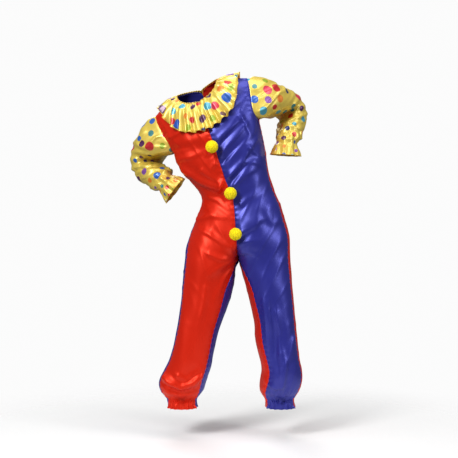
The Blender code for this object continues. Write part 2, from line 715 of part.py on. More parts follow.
def make_collar(surface, materials):
    shape = flat_cloth(COLLAR_COLUMNS, COLLAR_ROWS)
    read_length = readers(COLLAR_LENGTHS)[0]
    lines = []
    for column, start in enumerate(neck_edge(COLLAR_COLUMNS + 1)):
        degrees = abs(360 * column / COLLAR_COLUMNS - 180)
        lines.append(collar_line(start, read_length(degrees), surface))
    lift = {}
    for vert in shape.verts:
        column, row = round(vert.co.x * COLLAR_COLUMNS), round(vert.co.y)
        lift[column, row] = collar_lift(column / COLLAR_COLUMNS, row / COLLAR_ROWS)
    shape.verts.ensure_lookup_table()
    places = [(round(v.co.x * COLLAR_COLUMNS), round(v.co.y)) for v in shape.verts]
    for vert, (column, row) in zip(shape.verts, places):
        vert.co = lines[column][row]
    shape.normal_update()
    up = trunk_frame(0.0).to_3x3() @ Vector((0.0, 0.0, 1.0))
    if sum(face.normal.dot(up) for face in shape.faces) < 0:
        bmesh.ops.reverse_faces(shape, faces=shape.faces)
        shape.normal_update()
    raised = [vert.co + vert.normal * lift[place] for vert, place in zip(shape.verts, places)]
    for vert, point in zip(shape.verts, raised):
        vert.co = point
    shape.normal_update()
    under = {vert.co.to_tuple(6): vert.co - vert.normal * WALL for vert in shape.verts}
    walled(shape, lambda point: under[point.to_tuple(6)])
    return make_object("collar", shape, materials["dotted_satin"])


def height_over(surface, point):
    """How far a point lies outside the suit; less than nothing when it is inside."""
    place, normal, _, _ = surface.find_nearest(point)
    return (point - place).dot(normal)


def make_pompom(name, run, surface, materials):
    """A yarn ball of short locks, each drawn out of one face of its core."""
    shape = bmesh.new()
    bmesh.ops.create_icosphere(shape, subdivisions=2, radius=POMPOM_CORE)
    locks = bmesh.ops.extrude_discrete_faces(shape, faces=list(shape.faces))["faces"]
    for lock in locks:
        middle = lock.calc_center_median()
        way = middle.normalized()
        for vert in lock.verts:
            vert.co = way * POMPOM_RADIUS + (vert.co - middle) * 0.75
    front = suit_point(RIGHT, False, 0.0, run)
    _, normal, _, _ = surface.find_nearest(front)
    reach = POMPOM_RADIUS
    for _ in range(8):
        clear = min(height_over(surface, vert.co + front + normal * reach) for vert in shape.verts)
        reach += POMPOM_GAP - clear
    bmesh.ops.translate(shape, verts=shape.verts, vec=front + normal * reach)
    return make_object(name, shape, materials["yellow_yarn"])


def make_placket(wall_at, materials):
    """The strip that covers the back opening: one column of the wearer's left panel,
    moved out, from the neck's edge down to below the waist."""
    first = YOKE_ROWS - round((1 - BACK_NECK) * YOKE_ROWS) + 1
    shape = flat_cloth(1, PLACKET_LAST_ROW - first)
    top_of = {}
    for vert in shape.verts:
        run = PANEL_RUNS[first + round(vert.co.y)]
        seam = suit_point(LEFT, True, 0.0, run)
        edge = suit_point(LEFT, True, 1 / PANEL_COLUMNS, run)
        on_panel = edge if vert.co.x > 0.5 else seam
        normal = wall_at(on_panel).normalized()
        inset = (seam - edge if vert.co.x > 0.5 else edge - seam).normalized()
        vert.co = on_panel + inset * PLACKET_INSET + normal * PLACKET_LIFT
        top_of[vert.co.to_tuple(6)] = vert.co + normal * PLACKET_THICKNESS
    walled(shape, lambda point: top_of[point.to_tuple(6)])
    return make_object("back_placket", shape, materials["red_satin"])


def make_materials():
    made = {}
    for name, (colour, roughness) in FINISHES.items():
        material = bpy.data.materials.new(name)
        material.use_nodes = True
        shader = material.node_tree.nodes["Principled BSDF"]
        shader.inputs["Base Color"].default_value = (*colour, 1.0)
        shader.inputs["Roughness"].default_value = roughness
        shader.inputs["Metallic"].default_value = 0.0
        material.diffuse_color = (*colour, 1.0)
        made[name] = material
    return made


def main():
    for thing in list(bpy.data.objects):
        bpy.data.objects.remove(thing)
    suit = bpy.data.collections.new("clown_suit")
    bpy.context.scene.collection.children.link(suit)
    materials = make_materials()
    pieces = body_pieces() + sleeve_pieces()
    wall_at, surface = sewn_walls(pieces)
    for piece in pieces:
        sew(piece, wall_at, materials)
    make_collar(surface, materials)
    make_placket(wall_at, materials)
    for number, run in enumerate(POMPOM_RUNS, start=1):
        make_pompom(f"pompom_{number}", run, surface, materials)


main()
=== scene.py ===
# %% [markdown]
# # A clown's one-piece suit in satin
# The suit is cut from four body panels, two sleeves and a gathered collar, with three yarn
# pompoms down the front. The solids give its main shapes. Here each panel's outer face is
# lifted off its solid, refined into a thin sheet, creased and given its satin.
# Everything is in metres, +Z up, and the front of the suit faces -Y.

# %% Load the solids
import json
import math

import bmesh
import bpy
import numpy as np
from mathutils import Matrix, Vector, noise
from mathutils.bvhtree import BVHTree
from mathutils.kdtree import KDTree

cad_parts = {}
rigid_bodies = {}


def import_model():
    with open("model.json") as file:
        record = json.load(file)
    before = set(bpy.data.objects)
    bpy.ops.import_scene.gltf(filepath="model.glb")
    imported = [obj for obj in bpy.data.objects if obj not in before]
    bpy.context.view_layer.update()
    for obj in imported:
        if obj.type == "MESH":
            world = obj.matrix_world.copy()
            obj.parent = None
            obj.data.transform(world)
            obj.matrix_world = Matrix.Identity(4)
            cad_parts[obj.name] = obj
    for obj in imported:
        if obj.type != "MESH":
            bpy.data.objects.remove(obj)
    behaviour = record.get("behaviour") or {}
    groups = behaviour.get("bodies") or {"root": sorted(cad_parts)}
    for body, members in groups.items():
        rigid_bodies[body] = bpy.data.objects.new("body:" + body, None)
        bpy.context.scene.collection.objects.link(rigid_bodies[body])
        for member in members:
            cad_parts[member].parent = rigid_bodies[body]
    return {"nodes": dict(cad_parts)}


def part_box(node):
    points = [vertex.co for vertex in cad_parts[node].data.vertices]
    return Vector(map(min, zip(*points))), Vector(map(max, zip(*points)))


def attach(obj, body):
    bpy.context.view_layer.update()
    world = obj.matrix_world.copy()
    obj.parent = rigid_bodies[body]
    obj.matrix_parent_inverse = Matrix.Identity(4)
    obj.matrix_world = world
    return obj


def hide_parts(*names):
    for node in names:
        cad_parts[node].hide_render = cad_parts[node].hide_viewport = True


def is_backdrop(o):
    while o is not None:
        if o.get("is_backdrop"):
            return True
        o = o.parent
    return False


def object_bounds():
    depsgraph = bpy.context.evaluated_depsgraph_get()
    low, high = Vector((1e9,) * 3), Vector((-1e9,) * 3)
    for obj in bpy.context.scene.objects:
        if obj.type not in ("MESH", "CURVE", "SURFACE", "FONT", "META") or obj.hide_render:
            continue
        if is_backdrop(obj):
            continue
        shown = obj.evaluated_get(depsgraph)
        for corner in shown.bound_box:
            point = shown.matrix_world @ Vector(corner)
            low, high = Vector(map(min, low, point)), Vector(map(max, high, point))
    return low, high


for leftover in list(bpy.data.objects):
    bpy.data.objects.remove(leftover)
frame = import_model()
cad_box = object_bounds()
print("solids:", sorted(frame["nodes"]))

# %% [markdown]
# ## Camera and floor
# The photograph was taken from straight in front at the height of the hips, with a long
# lens. The floor is a disc a little below the ankles. It is only there to take a shadow,
# so it is staged and isn't part of the suit.

# %% Camera and floor
AIM = Vector((0.124, 0.0, -0.5625))
DISTANCE = 4.0
VIEW_WIDTH = 1.878  # how much the picture spans at the aim, in metres
FLOOR_Z, FLOOR_RADIUS = -1.425, 1.7

camera = bpy.data.objects.new("camera", bpy.data.cameras.new("camera"))
bpy.context.scene.collection.objects.link(camera)
camera.location = AIM + Vector((0.0, -DISTANCE, 0.0))
camera.rotation_euler = (math.pi / 2, 0.0, 0.0)
camera.data.sensor_width = 36.0
camera.data.lens = camera.data.sensor_width * DISTANCE / VIEW_WIDTH
bpy.context.scene.camera = camera

bpy.ops.mesh.primitive_circle_add(
    vertices=96, radius=FLOOR_RADIUS, fill_type="NGON", location=(AIM.x, 0.0, FLOOR_Z)
)
floor = bpy.context.active_object
floor.name = "floor"
floor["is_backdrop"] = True
print("camera at", [round(x, 3) for x in camera.location])

# %% [markdown]
# ## Light
# Satin shows its folds only by what it reflects, so the light comes from a few large soft
# boxes rather than from everywhere: one high on the left, one on the right, one above and
# one behind. The room is white, and looks brighter to the camera than it shines on the
# cloth: what the camera sees directly gets one strength, and all other rays the other.

# %% Light
ROOM_LIGHT, BACKDROP_LIGHT = 0.19, 0.97
SOFT_BOXES = (
    # name, place from the aim, size, power
    ("key", (-2.0, -2.8, 1.9), (1.0, 1.4), 122),
    ("side", (2.8, -1.9, 1.1), (0.7, 2.0), 44),
    ("top", (0.2, -0.8, 3.0), (2.6, 2.0), 56),
    ("back", (-0.8, 2.8, 2.8), (1.8, 1.6), 40),
)
for name, place, (wide, high), power in SOFT_BOXES:
    light = bpy.data.lights.new(name, "AREA")
    light.shape = "RECTANGLE"
    light.size, light.size_y, light.energy = wide, high, power
    box = bpy.data.objects.new(name, light)
    bpy.context.scene.collection.objects.link(box)
    box.location = AIM + Vector(place)
    box.rotation_euler = (-Vector(place)).to_track_quat("-Z", "Y").to_euler()

world = bpy.data.worlds.new("studio")
bpy.context.scene.world = world
world.use_nodes = True
backdrop = world.node_tree.nodes["Background"]
backdrop.inputs["Color"].default_value = (1.0, 1.0, 1.0, 1.0)
seen = world.node_tree.nodes.new("ShaderNodeLightPath").outputs["Is Camera Ray"]
strength = world.node_tree.nodes.new("ShaderNodeMapRange")
strength.inputs["To Min"].default_value = ROOM_LIGHT
strength.inputs["To Max"].default_value = BACKDROP_LIGHT
world.node_tree.links.new(seen, strength.inputs["Value"])
world.node_tree.links.new(strength.outputs["Result"], backdrop.inputs["Strength"])
bpy.context.scene.view_settings.view_transform = "Standard"
print("soft boxes:", [name for name, *_ in SOFT_BOXES])

# %% [markdown]
# ## Tell a solid's rim from its faces
# A solid panel is two faces of cloth joined by a narrow rim. The edges that run through
# the wall, from one face to the other, are short and stand straight out of the cloth.
# The faces beside them are the rim, and without it the two faces come apart.

# %% Tell a solid's rim from its faces
SHORTEST_WALL, LONGEST_WALL = 0.0012, 0.0036
UPRIGHT = 0.42  # the least sine of a wall edge's angle to the cloth


def only(thing):
    """Makes this object the one that the next operators work on."""
    bpy.ops.object.select_all(action="DESELECT")
    thing.select_set(True)
    bpy.context.view_layer.objects.active = thing


def through_the_wall(edge):
    """Whether an edge runs from the cloth's outer face to its inner one."""
    length = edge.calc_length()
    if not SHORTEST_WALL < length < LONGEST_WALL:
        return False
    way = (edge.verts[1].co - edge.verts[0].co) / length
    stands = [max(abs(way.dot(face.normal)) for face in v.link_faces) for v in edge.verts]
    return min(stands) > UPRIGHT


def islands(shape):
    """The two largest separate groups of faces of a mesh, the smaller one first."""
    left, groups = set(shape.faces), []
    while left:
        first = left.pop()
        group, to_do = [first], [first]
        while to_do:
            for edge in to_do.pop().edges:
                for face in edge.link_faces:
                    if face in left:
                        left.discard(face)
                        group.append(face)
                        to_do.append(face)
        groups.append(group)
    return sorted(groups, key=len)[-2:]


def facing_out(group, up):
    """How much a group of faces looks outwards, or up where up is given."""
    if up:
        return sum(face.calc_area() * face.normal.dot(up) for face in group)
    middle = sum((f.calc_center_median() for f in group), Vector()) / len(group)
    return sum(f.calc_area() * f.normal.dot(f.calc_center_median() - middle) for f in group)


print("walls taken for cloth (mm):", 1000 * SHORTEST_WALL, "to", 1000 * LONGEST_WALL)

# %% [markdown]
# ## Lift a sheet off a solid
# The sheet starts from a copy of the solid, without its rim and its inner face. At a tight
# fold a few short edges pass for rim, and at a corner the last of the rim holds on by an
# edge of its own, so what is left is looked over once more and small holes are filled.

# %% Lift a sheet off a solid
SMALL_HOLE = 14  # edges round it; the sheets' own open ends have more


def sheet_from(node, up=None):
    """An open sheet of quads with the shape of a solid's outer face."""
    thing = bpy.data.objects.new(node + "_cloth", frame["nodes"][node].data.copy())
    bpy.context.scene.collection.objects.link(thing)
    thing.data.materials.clear()
    only(thing)
    bpy.ops.object.mode_set(mode="EDIT")
    bpy.ops.mesh.select_all(action="SELECT")
    bpy.ops.mesh.remove_doubles(threshold=1e-5)
    bpy.ops.object.mode_set(mode="OBJECT")
    shape = bmesh.new()
    shape.from_mesh(thing.data)
    rim = {face for edge in shape.edges if through_the_wall(edge) for face in edge.link_faces}
    bmesh.ops.delete(shape, geom=list(rim), context="FACES_ONLY")
    rim = {
        face
        for edge in shape.edges
        if len(edge.link_faces) == 2
        and edge.calc_length() < 2 * LONGEST_WALL
        and all(any(e.is_boundary for e in vert.link_edges) for vert in edge.verts)
        for face in edge.link_faces
    }
    groups = islands(shape)
    if len(groups) == 1 or len(groups[0]) < 0.8 * len(groups[1]):
        bmesh.ops.delete(shape, geom=list(rim), context="FACES_ONLY")
        groups = islands(shape)
    keep = max(groups, key=lambda group: facing_out(group, up))
    gone = list(set(shape.faces) - set(keep))
    bmesh.ops.delete(shape, geom=gone, context="FACES")
    loose = [vert for vert in shape.verts if not vert.link_faces]
    bmesh.ops.delete(shape, geom=loose, context="VERTS")
    shape.to_mesh(thing.data)
    shape.free()
    bpy.ops.object.mode_set(mode="EDIT")
    bpy.ops.mesh.select_all(action="SELECT")
    bpy.ops.mesh.tris_convert_to_quads(face_threshold=math.pi, shape_threshold=math.pi)
    bpy.ops.mesh.fill_holes(sides=SMALL_HOLE)  # where the cloth is folded most tightly
    bpy.ops.object.mode_set(mode="OBJECT")
    print(node, len(keep), "triangles of cloth,", len(thing.data.polygons), "faces")
    return thing


PANELS = ("front_right", "front_left", "back_right", "back_left")
SLEEVES = ("sleeve_right", "sleeve_left")
cloth = {name: sheet_from(name) for name in PANELS + SLEEVES}
cloth["collar"] = sheet_from("collar", up=Vector((0.0, 0.0, 1.0)))

# %% [markdown]
# ## Read and move a sheet's points
# Creases are worked out for all of a sheet's points at once, as arrays. The open edges
# matter too, since seams, hems and gathers lie along them.

# %% Read and move a sheet's points


def points_of(thing):
    """Where a sheet's points are, one row each."""
    flat = np.empty(3 * len(thing.data.vertices))
    thing.data.vertices.foreach_get("co", flat)
    return flat.reshape(-1, 3)


def normals_of(thing):
    """Which way the cloth faces at each point."""
    thing.data.update()
    flat = np.empty(3 * len(thing.data.vertices))
    thing.data.vertices.foreach_get("normal", flat)
    return flat.reshape(-1, 3)


def place_points(thing, points):
    """Moves a sheet's points to these places."""
    thing.data.vertices.foreach_set("co", points.astype(np.float32).ravel())
    thing.data.update()


def open_edges(thing):
    """The loops of open edges, each a list of vertex numbers in order."""
    shape = bmesh.new()
    shape.from_mesh(thing.data)
    beside = {}
    for edge in shape.edges:
        if edge.is_boundary:
            a, b = (v.index for v in edge.verts)
            beside.setdefault(a, []).append(b)
            beside.setdefault(b, []).append(a)
    shape.free()
    loops = []
    while beside:
        loop = [next(iter(beside))]
        while True:
            onwards = [v for v in beside.pop(loop[-1], []) if v in beside]
            if not onwards:
                break
            loop.append(onwards[0])
        loops.append(loop)
    return sorted(loops, key=len)


print("open edges:", {name: [len(loop) for loop in open_edges(cloth[name])] for name in cloth})

# %% [markdown]
# ## The flat cut
# Unwrapping a sheet flattens it as a tailor would. The result is the cut itself, so it is
# scaled to metres and kept as the UV map: weave and dots then follow the cloth. A sleeve
# is a tube and needs its underarm seam first, along the shortest way from end to end.

# %% The flat cut


def mark_underarm(thing):
    """Marks the seam of a sleeve, from the armhole's lowest point to the cuff."""
    points = points_of(thing)
    armhole, hem = open_edges(thing)[-2:]  # the hem is gathered from more cells
    start = armhole[int(np.argmin(points[armhole][:, 2]))]
    way = points[hem] - points[start]
    end = hem[int(np.argmin(np.linalg.norm(way, axis=1)))]
    for vert in thing.data.vertices:
        vert.select = vert.index in (start, end)
    for edge in thing.data.edges:
        edge.select = False
    for face in thing.data.polygons:
        face.select = False
    only(thing)
    bpy.ops.object.mode_set(mode="EDIT")
    bpy.ops.mesh.select_mode(type="VERT")
    bpy.ops.mesh.shortest_path_select(edge_mode="SELECT")
    bpy.ops.mesh.mark_seam()
    bpy.ops.object.mode_set(mode="OBJECT")


def flatten(thing):
    """Unwraps a sheet and scales its UV map to metres. Returns its width, length, area."""
    only(thing)
    bpy.ops.object.mode_set(mode="EDIT")
    bpy.ops.mesh.select_all(action="SELECT")
    bpy.ops.uv.unwrap(method="ANGLE_BASED", margin=0.0)
    bpy.ops.object.mode_set(mode="OBJECT")
    layer = thing.data.uv_layers[0]
    layer.name = "cut"
    uv = np.empty(2 * len(thing.data.loops))
    layer.data.foreach_get("uv", uv)
    uv = uv.reshape(-1, 2)
    flat_area = 0.0
    for face in thing.data.polygons:
        corner = uv[list(face.loop_indices)]
        x, y = corner[:, 0], corner[:, 1]
        flat_area += abs(np.dot(x, np.roll(y, 1)) - np.dot(y, np.roll(x, 1))) / 2
    area = sum(face.area for face in thing.data.polygons)
    uv = (uv - uv.min(axis=0)) * math.sqrt(area / flat_area)
    layer.data.foreach_set("uv", uv.ravel())
    return (*uv.max(axis=0), area)


for name in SLEEVES:
    mark_underarm(cloth[name])
for name, thing in cloth.items():
    print(name, "cut (m, m, m2):", [round(float(x), 3) for x in flatten(thing)])

# %% [markdown]
# ## Refine the sheets
# The solids' faces are as wide as a thumb. Three rounds of subdivision round them off and
# leave cells of about 4 mm, fine enough for creases.

# %% Refine the sheets
ROUNDS = 3


def refine(thing, rounds):
    """Splits every face in four, as many times as there are rounds, and rounds them off."""
    only(thing)
    smooth = thing.modifiers.new("smooth", "SUBSURF")
    smooth.levels = smooth.render_levels = rounds
    smooth.boundary_smooth = "PRESERVE_CORNERS"
    bpy.ops.object.modifier_apply(modifier=smooth.name)
    bpy.ops.object.shade_smooth()


for name, thing in cloth.items():
    refine(thing, ROUNDS)
print("vertices:", {name: len(thing.data.vertices) for name, thing in cloth.items()})

# %% [markdown]
# ## A chart of creases
# A crease is drawn on the front view as a line through a few points, with its own width
# and height; a trough's height is negative. The front's are charted from the photograph:
# folds that rise from the centre seam across the chest, arcs under the waist, a fold at
# the hip, and the cloth that blouses over each ankle. The back isn't seen, and gets the
# folds that such a pose would pull there.

# %% A chart of creases
FRONT_CREASES = (
    # half width, height (mm), then x and z of each point (cm)
    (9, 3.5, (-3.0, -17.5), (2.5, -11.5), (8.0, -7.5)),
    (8, 4.5, (3.6, -26.5), (5.7, -24.0), (9.1, -20.3), (13.6, -15.8), (18.0, -12.1)),
    (6, -3.0, (5.0, -27.5), (8.0, -23.8), (12.5, -19.0), (16.5, -15.0)),
    (7, 5.0, (6.2, -31.5), (9.1, -27.3), (12.0, -23.0), (17.0, -17.5), (19.5, -14.5)),
    (6, -4.5, (8.3, -31.2), (12.1, -27.0), (16.5, -22.6), (19.5, -18.8)),
    (8, 5.5, (8.0, -41.5), (10.6, -37.5), (13.6, -33.7), (17.3, -29.6), (20.3, -24.8),
     (24.0, -20.3)),
    (6, -3.5, (12.4, -39.5), (16.0, -34.5), (19.5, -30.5), (23.0, -27.0)),
    (8, 4.0, (11.5, -44.0), (14.5, -39.0), (18.0, -35.5), (23.0, -32.5)),
    (7, 3.0, (16.5, -10.5), (18.5, -14.5), (20.5, -18.0)),
    (7, 2.5, (19.5, -23.5), (23.0, -26.0), (25.5, -28.0)),
    (7, 2.5, (18.0, -30.0), (22.0, -29.5), (25.5, -31.5)),
    (9, 3.0, (16.5, -47.0), (20.0, -43.5), (25.0, -41.0)),
    (15, 4.5, (15.5, -59.0), (20.3, -55.5), (24.0, -52.8), (27.6, -51.8), (29.8, -53.6),
     (35.0, -52.6)),
    (6, 2.5, (15.2, -60.0), (19.5, -57.5), (24.0, -54.5)),
    (6, 2.5, (15.2, -63.0), (19.0, -61.5), (24.0, -60.5)),
    (6, 2.0, (16.0, -66.0), (20.0, -65.5), (25.0, -68.0)),
    (9, 3.0, (18.5, -71.0), (21.0, -80.0), (22.5, -92.0)),
    (9, 3.0, (26.5, -84.0), (27.5, -98.0), (29.5, -112.0)),
    (7, -2.5, (29.5, -86.0), (30.5, -98.0), (31.5, -108.0)),
    (8, 3.0, (31.5, -88.0), (33.0, -102.0), (33.5, -116.0)),
    (7, 2.5, (26.0, -118.0), (31.0, -121.0), (36.5, -119.0)),
    (8, 3.0, (-13.0, -19.5), (-7.5, -17.5), (-3.5, -16.0)),
    (8, -2.5, (-11.5, -24.0), (-6.0, -23.5), (-1.0, -22.0)),
    (9, 3.5, (-9.5, -28.5), (-4.0, -27.5), (1.5, -25.5)),
    (8, 4.5, (-7.5, -31.0), (-1.5, -36.5), (6.0, -40.0), (9.5, -40.5)),
    (7, -4.0, (-4.5, -35.5), (1.5, -39.5), (8.0, -42.5)),
    (7, 3.0, (0.5, -32.5), (5.0, -35.5), (9.0, -38.0)),
    (7, 2.5, (3.5, -43.0), (8.0, -45.0), (11.5, -48.5)),
    (8, 3.0, (-1.0, -53.0), (4.5, -51.0), (10.5, -52.0)),
    (7, 2.5, (1.0, -57.0), (7.0, -60.5), (13.5, -64.5)),
    (8, 3.0, (3.5, -66.5), (9.0, -68.5), (14.5, -68.0)),
    (8, 3.0, (14.5, -68.5), (9.5, -71.0), (4.0, -75.0)),
    (8, 2.5, (14.0, -71.0), (10.5, -76.0), (6.5, -84.0)),
    (10, 2.5, (-6.0, -72.0), (-7.0, -88.0), (-8.5, -104.0)),
    (8, 2.5, (3.5, -78.0), (0.5, -92.0), (-1.5, -104.0)),
    (9, 6.5, (-16.0, -115.5), (-12.0, -119.0), (-7.5, -120.8), (-2.0, -119.5), (2.8, -115.0)),
    (6, -4.0, (-15.5, -119.0), (-11.0, -122.0), (-6.0, -123.2), (0.0, -121.5), (3.0, -117.5)),
    (8, 6.0, (4.2, -109.0), (2.0, -115.0), (-2.5, -118.8), (-8.0, -120.6)),
    (7, 3.0, (-9.5, -115.5), (-5.0, -117.5), (0.5, -113.5)),
    (7, 3.0, (-13.5, -123.0), (-7.5, -125.0), (-1.0, -123.5)),
    (9, 3.5, (39.5, -99.0), (37.0, -107.0), (33.5, -114.0)),
    (9, 4.0, (33.5, -122.0), (35.4, -111.5), (33.0, -101.0)),
)
BACK_CREASES = (
    (9, 3.5, (-9.0, -16.0), (-2.0, -21.0), (6.0, -27.0)),
    (8, 3.5, (20.0, -12.0), (14.0, -19.0), (8.0, -26.0)),
    (8, 4.0, (23.0, -28.0), (17.0, -33.0), (10.0, -38.5)),
    (8, 4.0, (-6.0, -31.0), (1.0, -36.5), (9.0, -40.5)),
    (7, -3.0, (-5.0, -36.0), (3.0, -41.0), (10.5, -44.0)),
    (9, 3.5, (28.0, -46.0), (22.0, -50.0), (16.5, -50.5)),
    (9, 3.5, (2.0, -50.0), (9.0, -54.0), (15.0, -60.0)),
    (8, 3.5, (30.0, -62.0), (23.0, -65.0), (17.5, -68.0)),
    (8, 3.5, (0.0, -66.0), (7.0, -68.0), (13.5, -69.5)),
    (9, 3.0, (3.0, -75.0), (-1.0, -90.0), (-4.0, -105.0)),
    (9, 3.0, (26.0, -76.0), (27.0, -92.0), (30.0, -108.0)),
    (8, 4.0, (-13.0, -118.0), (-7.0, -122.0), (0.0, -117.0)),
    (8, 4.0, (27.0, -118.0), (33.0, -122.0), (38.5, -118.0)),
)
print("creases charted:", len(FRONT_CREASES), "in front and", len(BACK_CREASES), "behind")

# %% [markdown]
# ## How a crease lifts the cloth
# Near its line the cloth is lifted along its own normal. A pulled fold is gentle on one
# side and steep on the other, strongest near where it starts, and a little wandering of
# the line keeps two creases from looking alike. Between the charted ones the cloth is
# never quite flat, so a stretched noise adds a few soft ripples of its own.

# %% How a crease lifts the cloth
CREASE_SPREAD, CREASE_LIFT = 1.35, 2.2  # all of them wider and higher than charted
GENTLE_SIDE, STEEP_SIDE = 1.35, 0.80
RIPPLE_WIDTH = 0.16  # in values of the noise


def ease(value):
    """Runs smoothly from 0 to 1 as a value does, and stays there beyond."""
    value = np.clip(value, 0.0, 1.0)
    return value * value * (3 - 2 * value)


def hump(distance, width):
    """1 at no distance, and falling off smoothly over about this width."""
    return np.exp(-((distance / width) ** 2))


def wander(points, scale, seed):
    """A smooth noise from -1 to 1 at each point, with waves of about this size in metres."""
    shift = Vector((seed * 7.3, seed * 3.1, seed * 5.7))
    return np.array([noise.noise(Vector(p) / scale + shift) for p in points])


def beside_line(plan, line):
    """How far each point is from a line, on which side, and how far along it, 0 to 1."""
    line = np.array(line)
    lengths = np.linalg.norm(np.diff(line, axis=0), axis=1)
    nearest, side, share = np.full(len(plan), 1e9), np.zeros(len(plan)), np.zeros(len(plan))
    gone = 0.0
    for start, end, length in zip(line, line[1:], lengths):
        along = (end - start) / length
        part = np.clip((plan - start) @ along, 0.0, length)
        gap = plan - start - part[:, None] * along
        off = np.linalg.norm(gap, axis=1)
        closer = off < nearest
        nearest = np.where(closer, off, nearest)
        side = np.where(closer, np.sign(along[0] * gap[:, 1] - along[1] * gap[:, 0]), side)
        share = np.where(closer, (gone + part) / lengths.sum(), share)
        gone += length
    return nearest, side, share


def crease(points, creases):
    """The height that a chart of creases gives each point, in metres. A crease is gentle
    on the left of its line, steep on the right, and dies out towards its end."""
    plan = points[:, [0, 2]] + 0.006 * np.stack(
        [wander(points, 0.09, 1), wander(points, 0.09, 2)], axis=1
    )
    vary = 1.0 + 0.5 * wander(points, 0.06, 3)
    total = np.zeros(len(points))
    for width, height, *line in creases:
        off, side, share = beside_line(plan, [(x / 100, z / 100) for x, z in line])
        wide = CREASE_SPREAD * width / 1000 * np.where(side > 0, GENTLE_SIDE, STEEP_SIDE)
        taper = ease(share / 0.15 + 0.4) * (1.0 - 0.8 * share**1.6)
        total += CREASE_LIFT * height / 1000 * taper * np.exp(-((off / wide) ** 2) * vary)
    return total


def ripple(points, scales, seed):
    """Soft unplanned creases: the lines along which a stretched noise passes nothing."""
    stretched = points / np.array(scales)
    shift = Vector((seed * 2.7, seed * 4.9, seed * 6.1))
    value = np.array([noise.noise(Vector(p) + shift) for p in stretched])
    return hump(value, RIPPLE_WIDTH)


print("the first crease's points (cm):", FRONT_CREASES[0][2:])

# %% [markdown]
# ## Crease the panels
# The creases die out towards the seams, where the thread holds the cloth in a shallow
# groove and draws it into small puckers. At the ankle an elastic gathers the cloth into
# fine crimps, with the frill below it.

# %% Crease the panels
HEM_Z = min(points_of(cloth[name])[:, 2].min() for name in PANELS)
HEM_BAND = 0.006  # a panel's points this near its lowest one are its hem
PUCKER_LENGTH = 0.021
ANKLE_ELASTIC, ANKLE_CRIMPS = 0.036, 38  # its height above the hem, and the crimps round it


def nearest_of(points, others):
    """The number of the nearest of some others to each point, and how far off it is."""
    tree = KDTree(len(others))
    for i, point in enumerate(others):
        tree.insert(point, i)
    tree.balance()
    found = [tree.find(p) for p in points]
    return np.array([f[1] for f in found]), np.array([f[2] for f in found])


def far_from(points, others):
    """How far each point is from the nearest of some others."""
    return nearest_of(points, others)[1]


def crease_panel(name):
    """Lifts a panel's points into its creases. Returns the least and the most, in mm."""
    thing, front = cloth[name], name.startswith("front")
    points, normals = points_of(thing), normals_of(thing)
    edge = points[open_edges(thing)[-1]]
    off = far_from(points, edge[edge[:, 2] > HEM_Z + HEM_BAND])
    above = points[:, 2] - HEM_Z

    # the charted creases, and soft slanting ones between them
    lift = crease(points, FRONT_CREASES if front else BACK_CREASES)
    turn = 1.0 if name.endswith("left") else -1.0
    sloped = points.copy()
    sloped[:, 0] = points[:, 0] - turn * 0.6 * points[:, 2]
    sloped[:, 2] = points[:, 2] + turn * 0.5 * points[:, 0]
    loose = 0.0020 - 0.0010 * ease((-0.70 - points[:, 2]) / 0.15)  # less on the legs
    lift += loose * ripple(sloped, (0.060, 0.12, 0.24), 1 + PANELS.index(name))
    lift += 0.0016 * wander(points, 0.075, 9)
    lift *= ease(off / 0.028) * ease((above - 0.045) / 0.04)

    # the groove and the puckers of the seams, and the crimps of the elastic
    pucker = np.sin(2 * math.pi * (points[:, 2] + 0.004 * wander(points, 0.03, 5)) / PUCKER_LENGTH)
    lift += 0.0011 * hump(off, 0.013) * pucker - 0.0013 * hump(off, 0.005)
    middle = edge[edge[:, 2] < HEM_Z + HEM_BAND].mean(axis=0)
    angle = np.arctan2(points[:, 1] - middle[1], points[:, 0] - middle[0])
    lift += 0.0027 * np.cos(ANKLE_CRIMPS * angle) * hump(above - ANKLE_ELASTIC, 0.016)
    place_points(thing, points + normals * lift[:, None])
    return 1000 * lift.min(), 1000 * lift.max()


for name in PANELS:
    low, high = crease_panel(name)
    print(name, "creased from", round(low, 1), "to", round(high, 1), "mm")

# %% [markdown]
# ## Where a sleeve bends
# A sleeve's creases lie round its bend, so they are described from there: by how far a
# point is along the sleeve from the elbow, and by the angle round it. The outer side of
# the elbow is where the cloth is furthest from both ends of the sleeve together.

# %% Where a sleeve bends
BEND_DEPTH = 0.055  # from the elbow's outer side in to where the arm bends


def bend_of(points, armhole, hem):
    """Where a sleeve bends, and three directions there: the way that the arm goes on, the
    way towards the inside of the elbow, and the way across both."""
    start, wrist = points[armhole].mean(axis=0), points[hem].mean(axis=0)
    far = np.linalg.norm(points - start, axis=1) + np.linalg.norm(points - wrist, axis=1)
    elbow = points[np.argsort(far)[-60:]].mean(axis=0)
    inside = (start + wrist) / 2 - elbow
    inside /= np.linalg.norm(inside)
    elbow = elbow + inside * BEND_DEPTH
    out, back = elbow - start, wrist - elbow
    across = np.cross(out, back)
    across /= np.linalg.norm(across)
    way = out / np.linalg.norm(out) + back / np.linalg.norm(back)
    return elbow, np.array([way / np.linalg.norm(way), inside, across])


for name in SLEEVES:
    elbow, ways = bend_of(points_of(cloth[name]), *open_edges(cloth[name])[-2:])
    print(name, "bends at (m):", elbow.round(3), "with its inside towards", ways[1].round(2))

# %% [markdown]
# ## Creases of the sleeves and the cuffs
# Where an arm bends, the sleeve's cloth is pressed together on the inside of the elbow
# and pulled over the outside. The creases run round the sleeve, close together inside
# and further apart outside. At the wrist an elastic gathers the cloth, and it bulges
# above the elastic and spreads below it.

# %% Creases of the sleeves and the cuffs
CUFF_FRILL = 0.055  # how far the elastic lies from the hem
CUFF_CRIMPS, FRILL_WAVES = 26, 17  # round the elastic, and round the hem


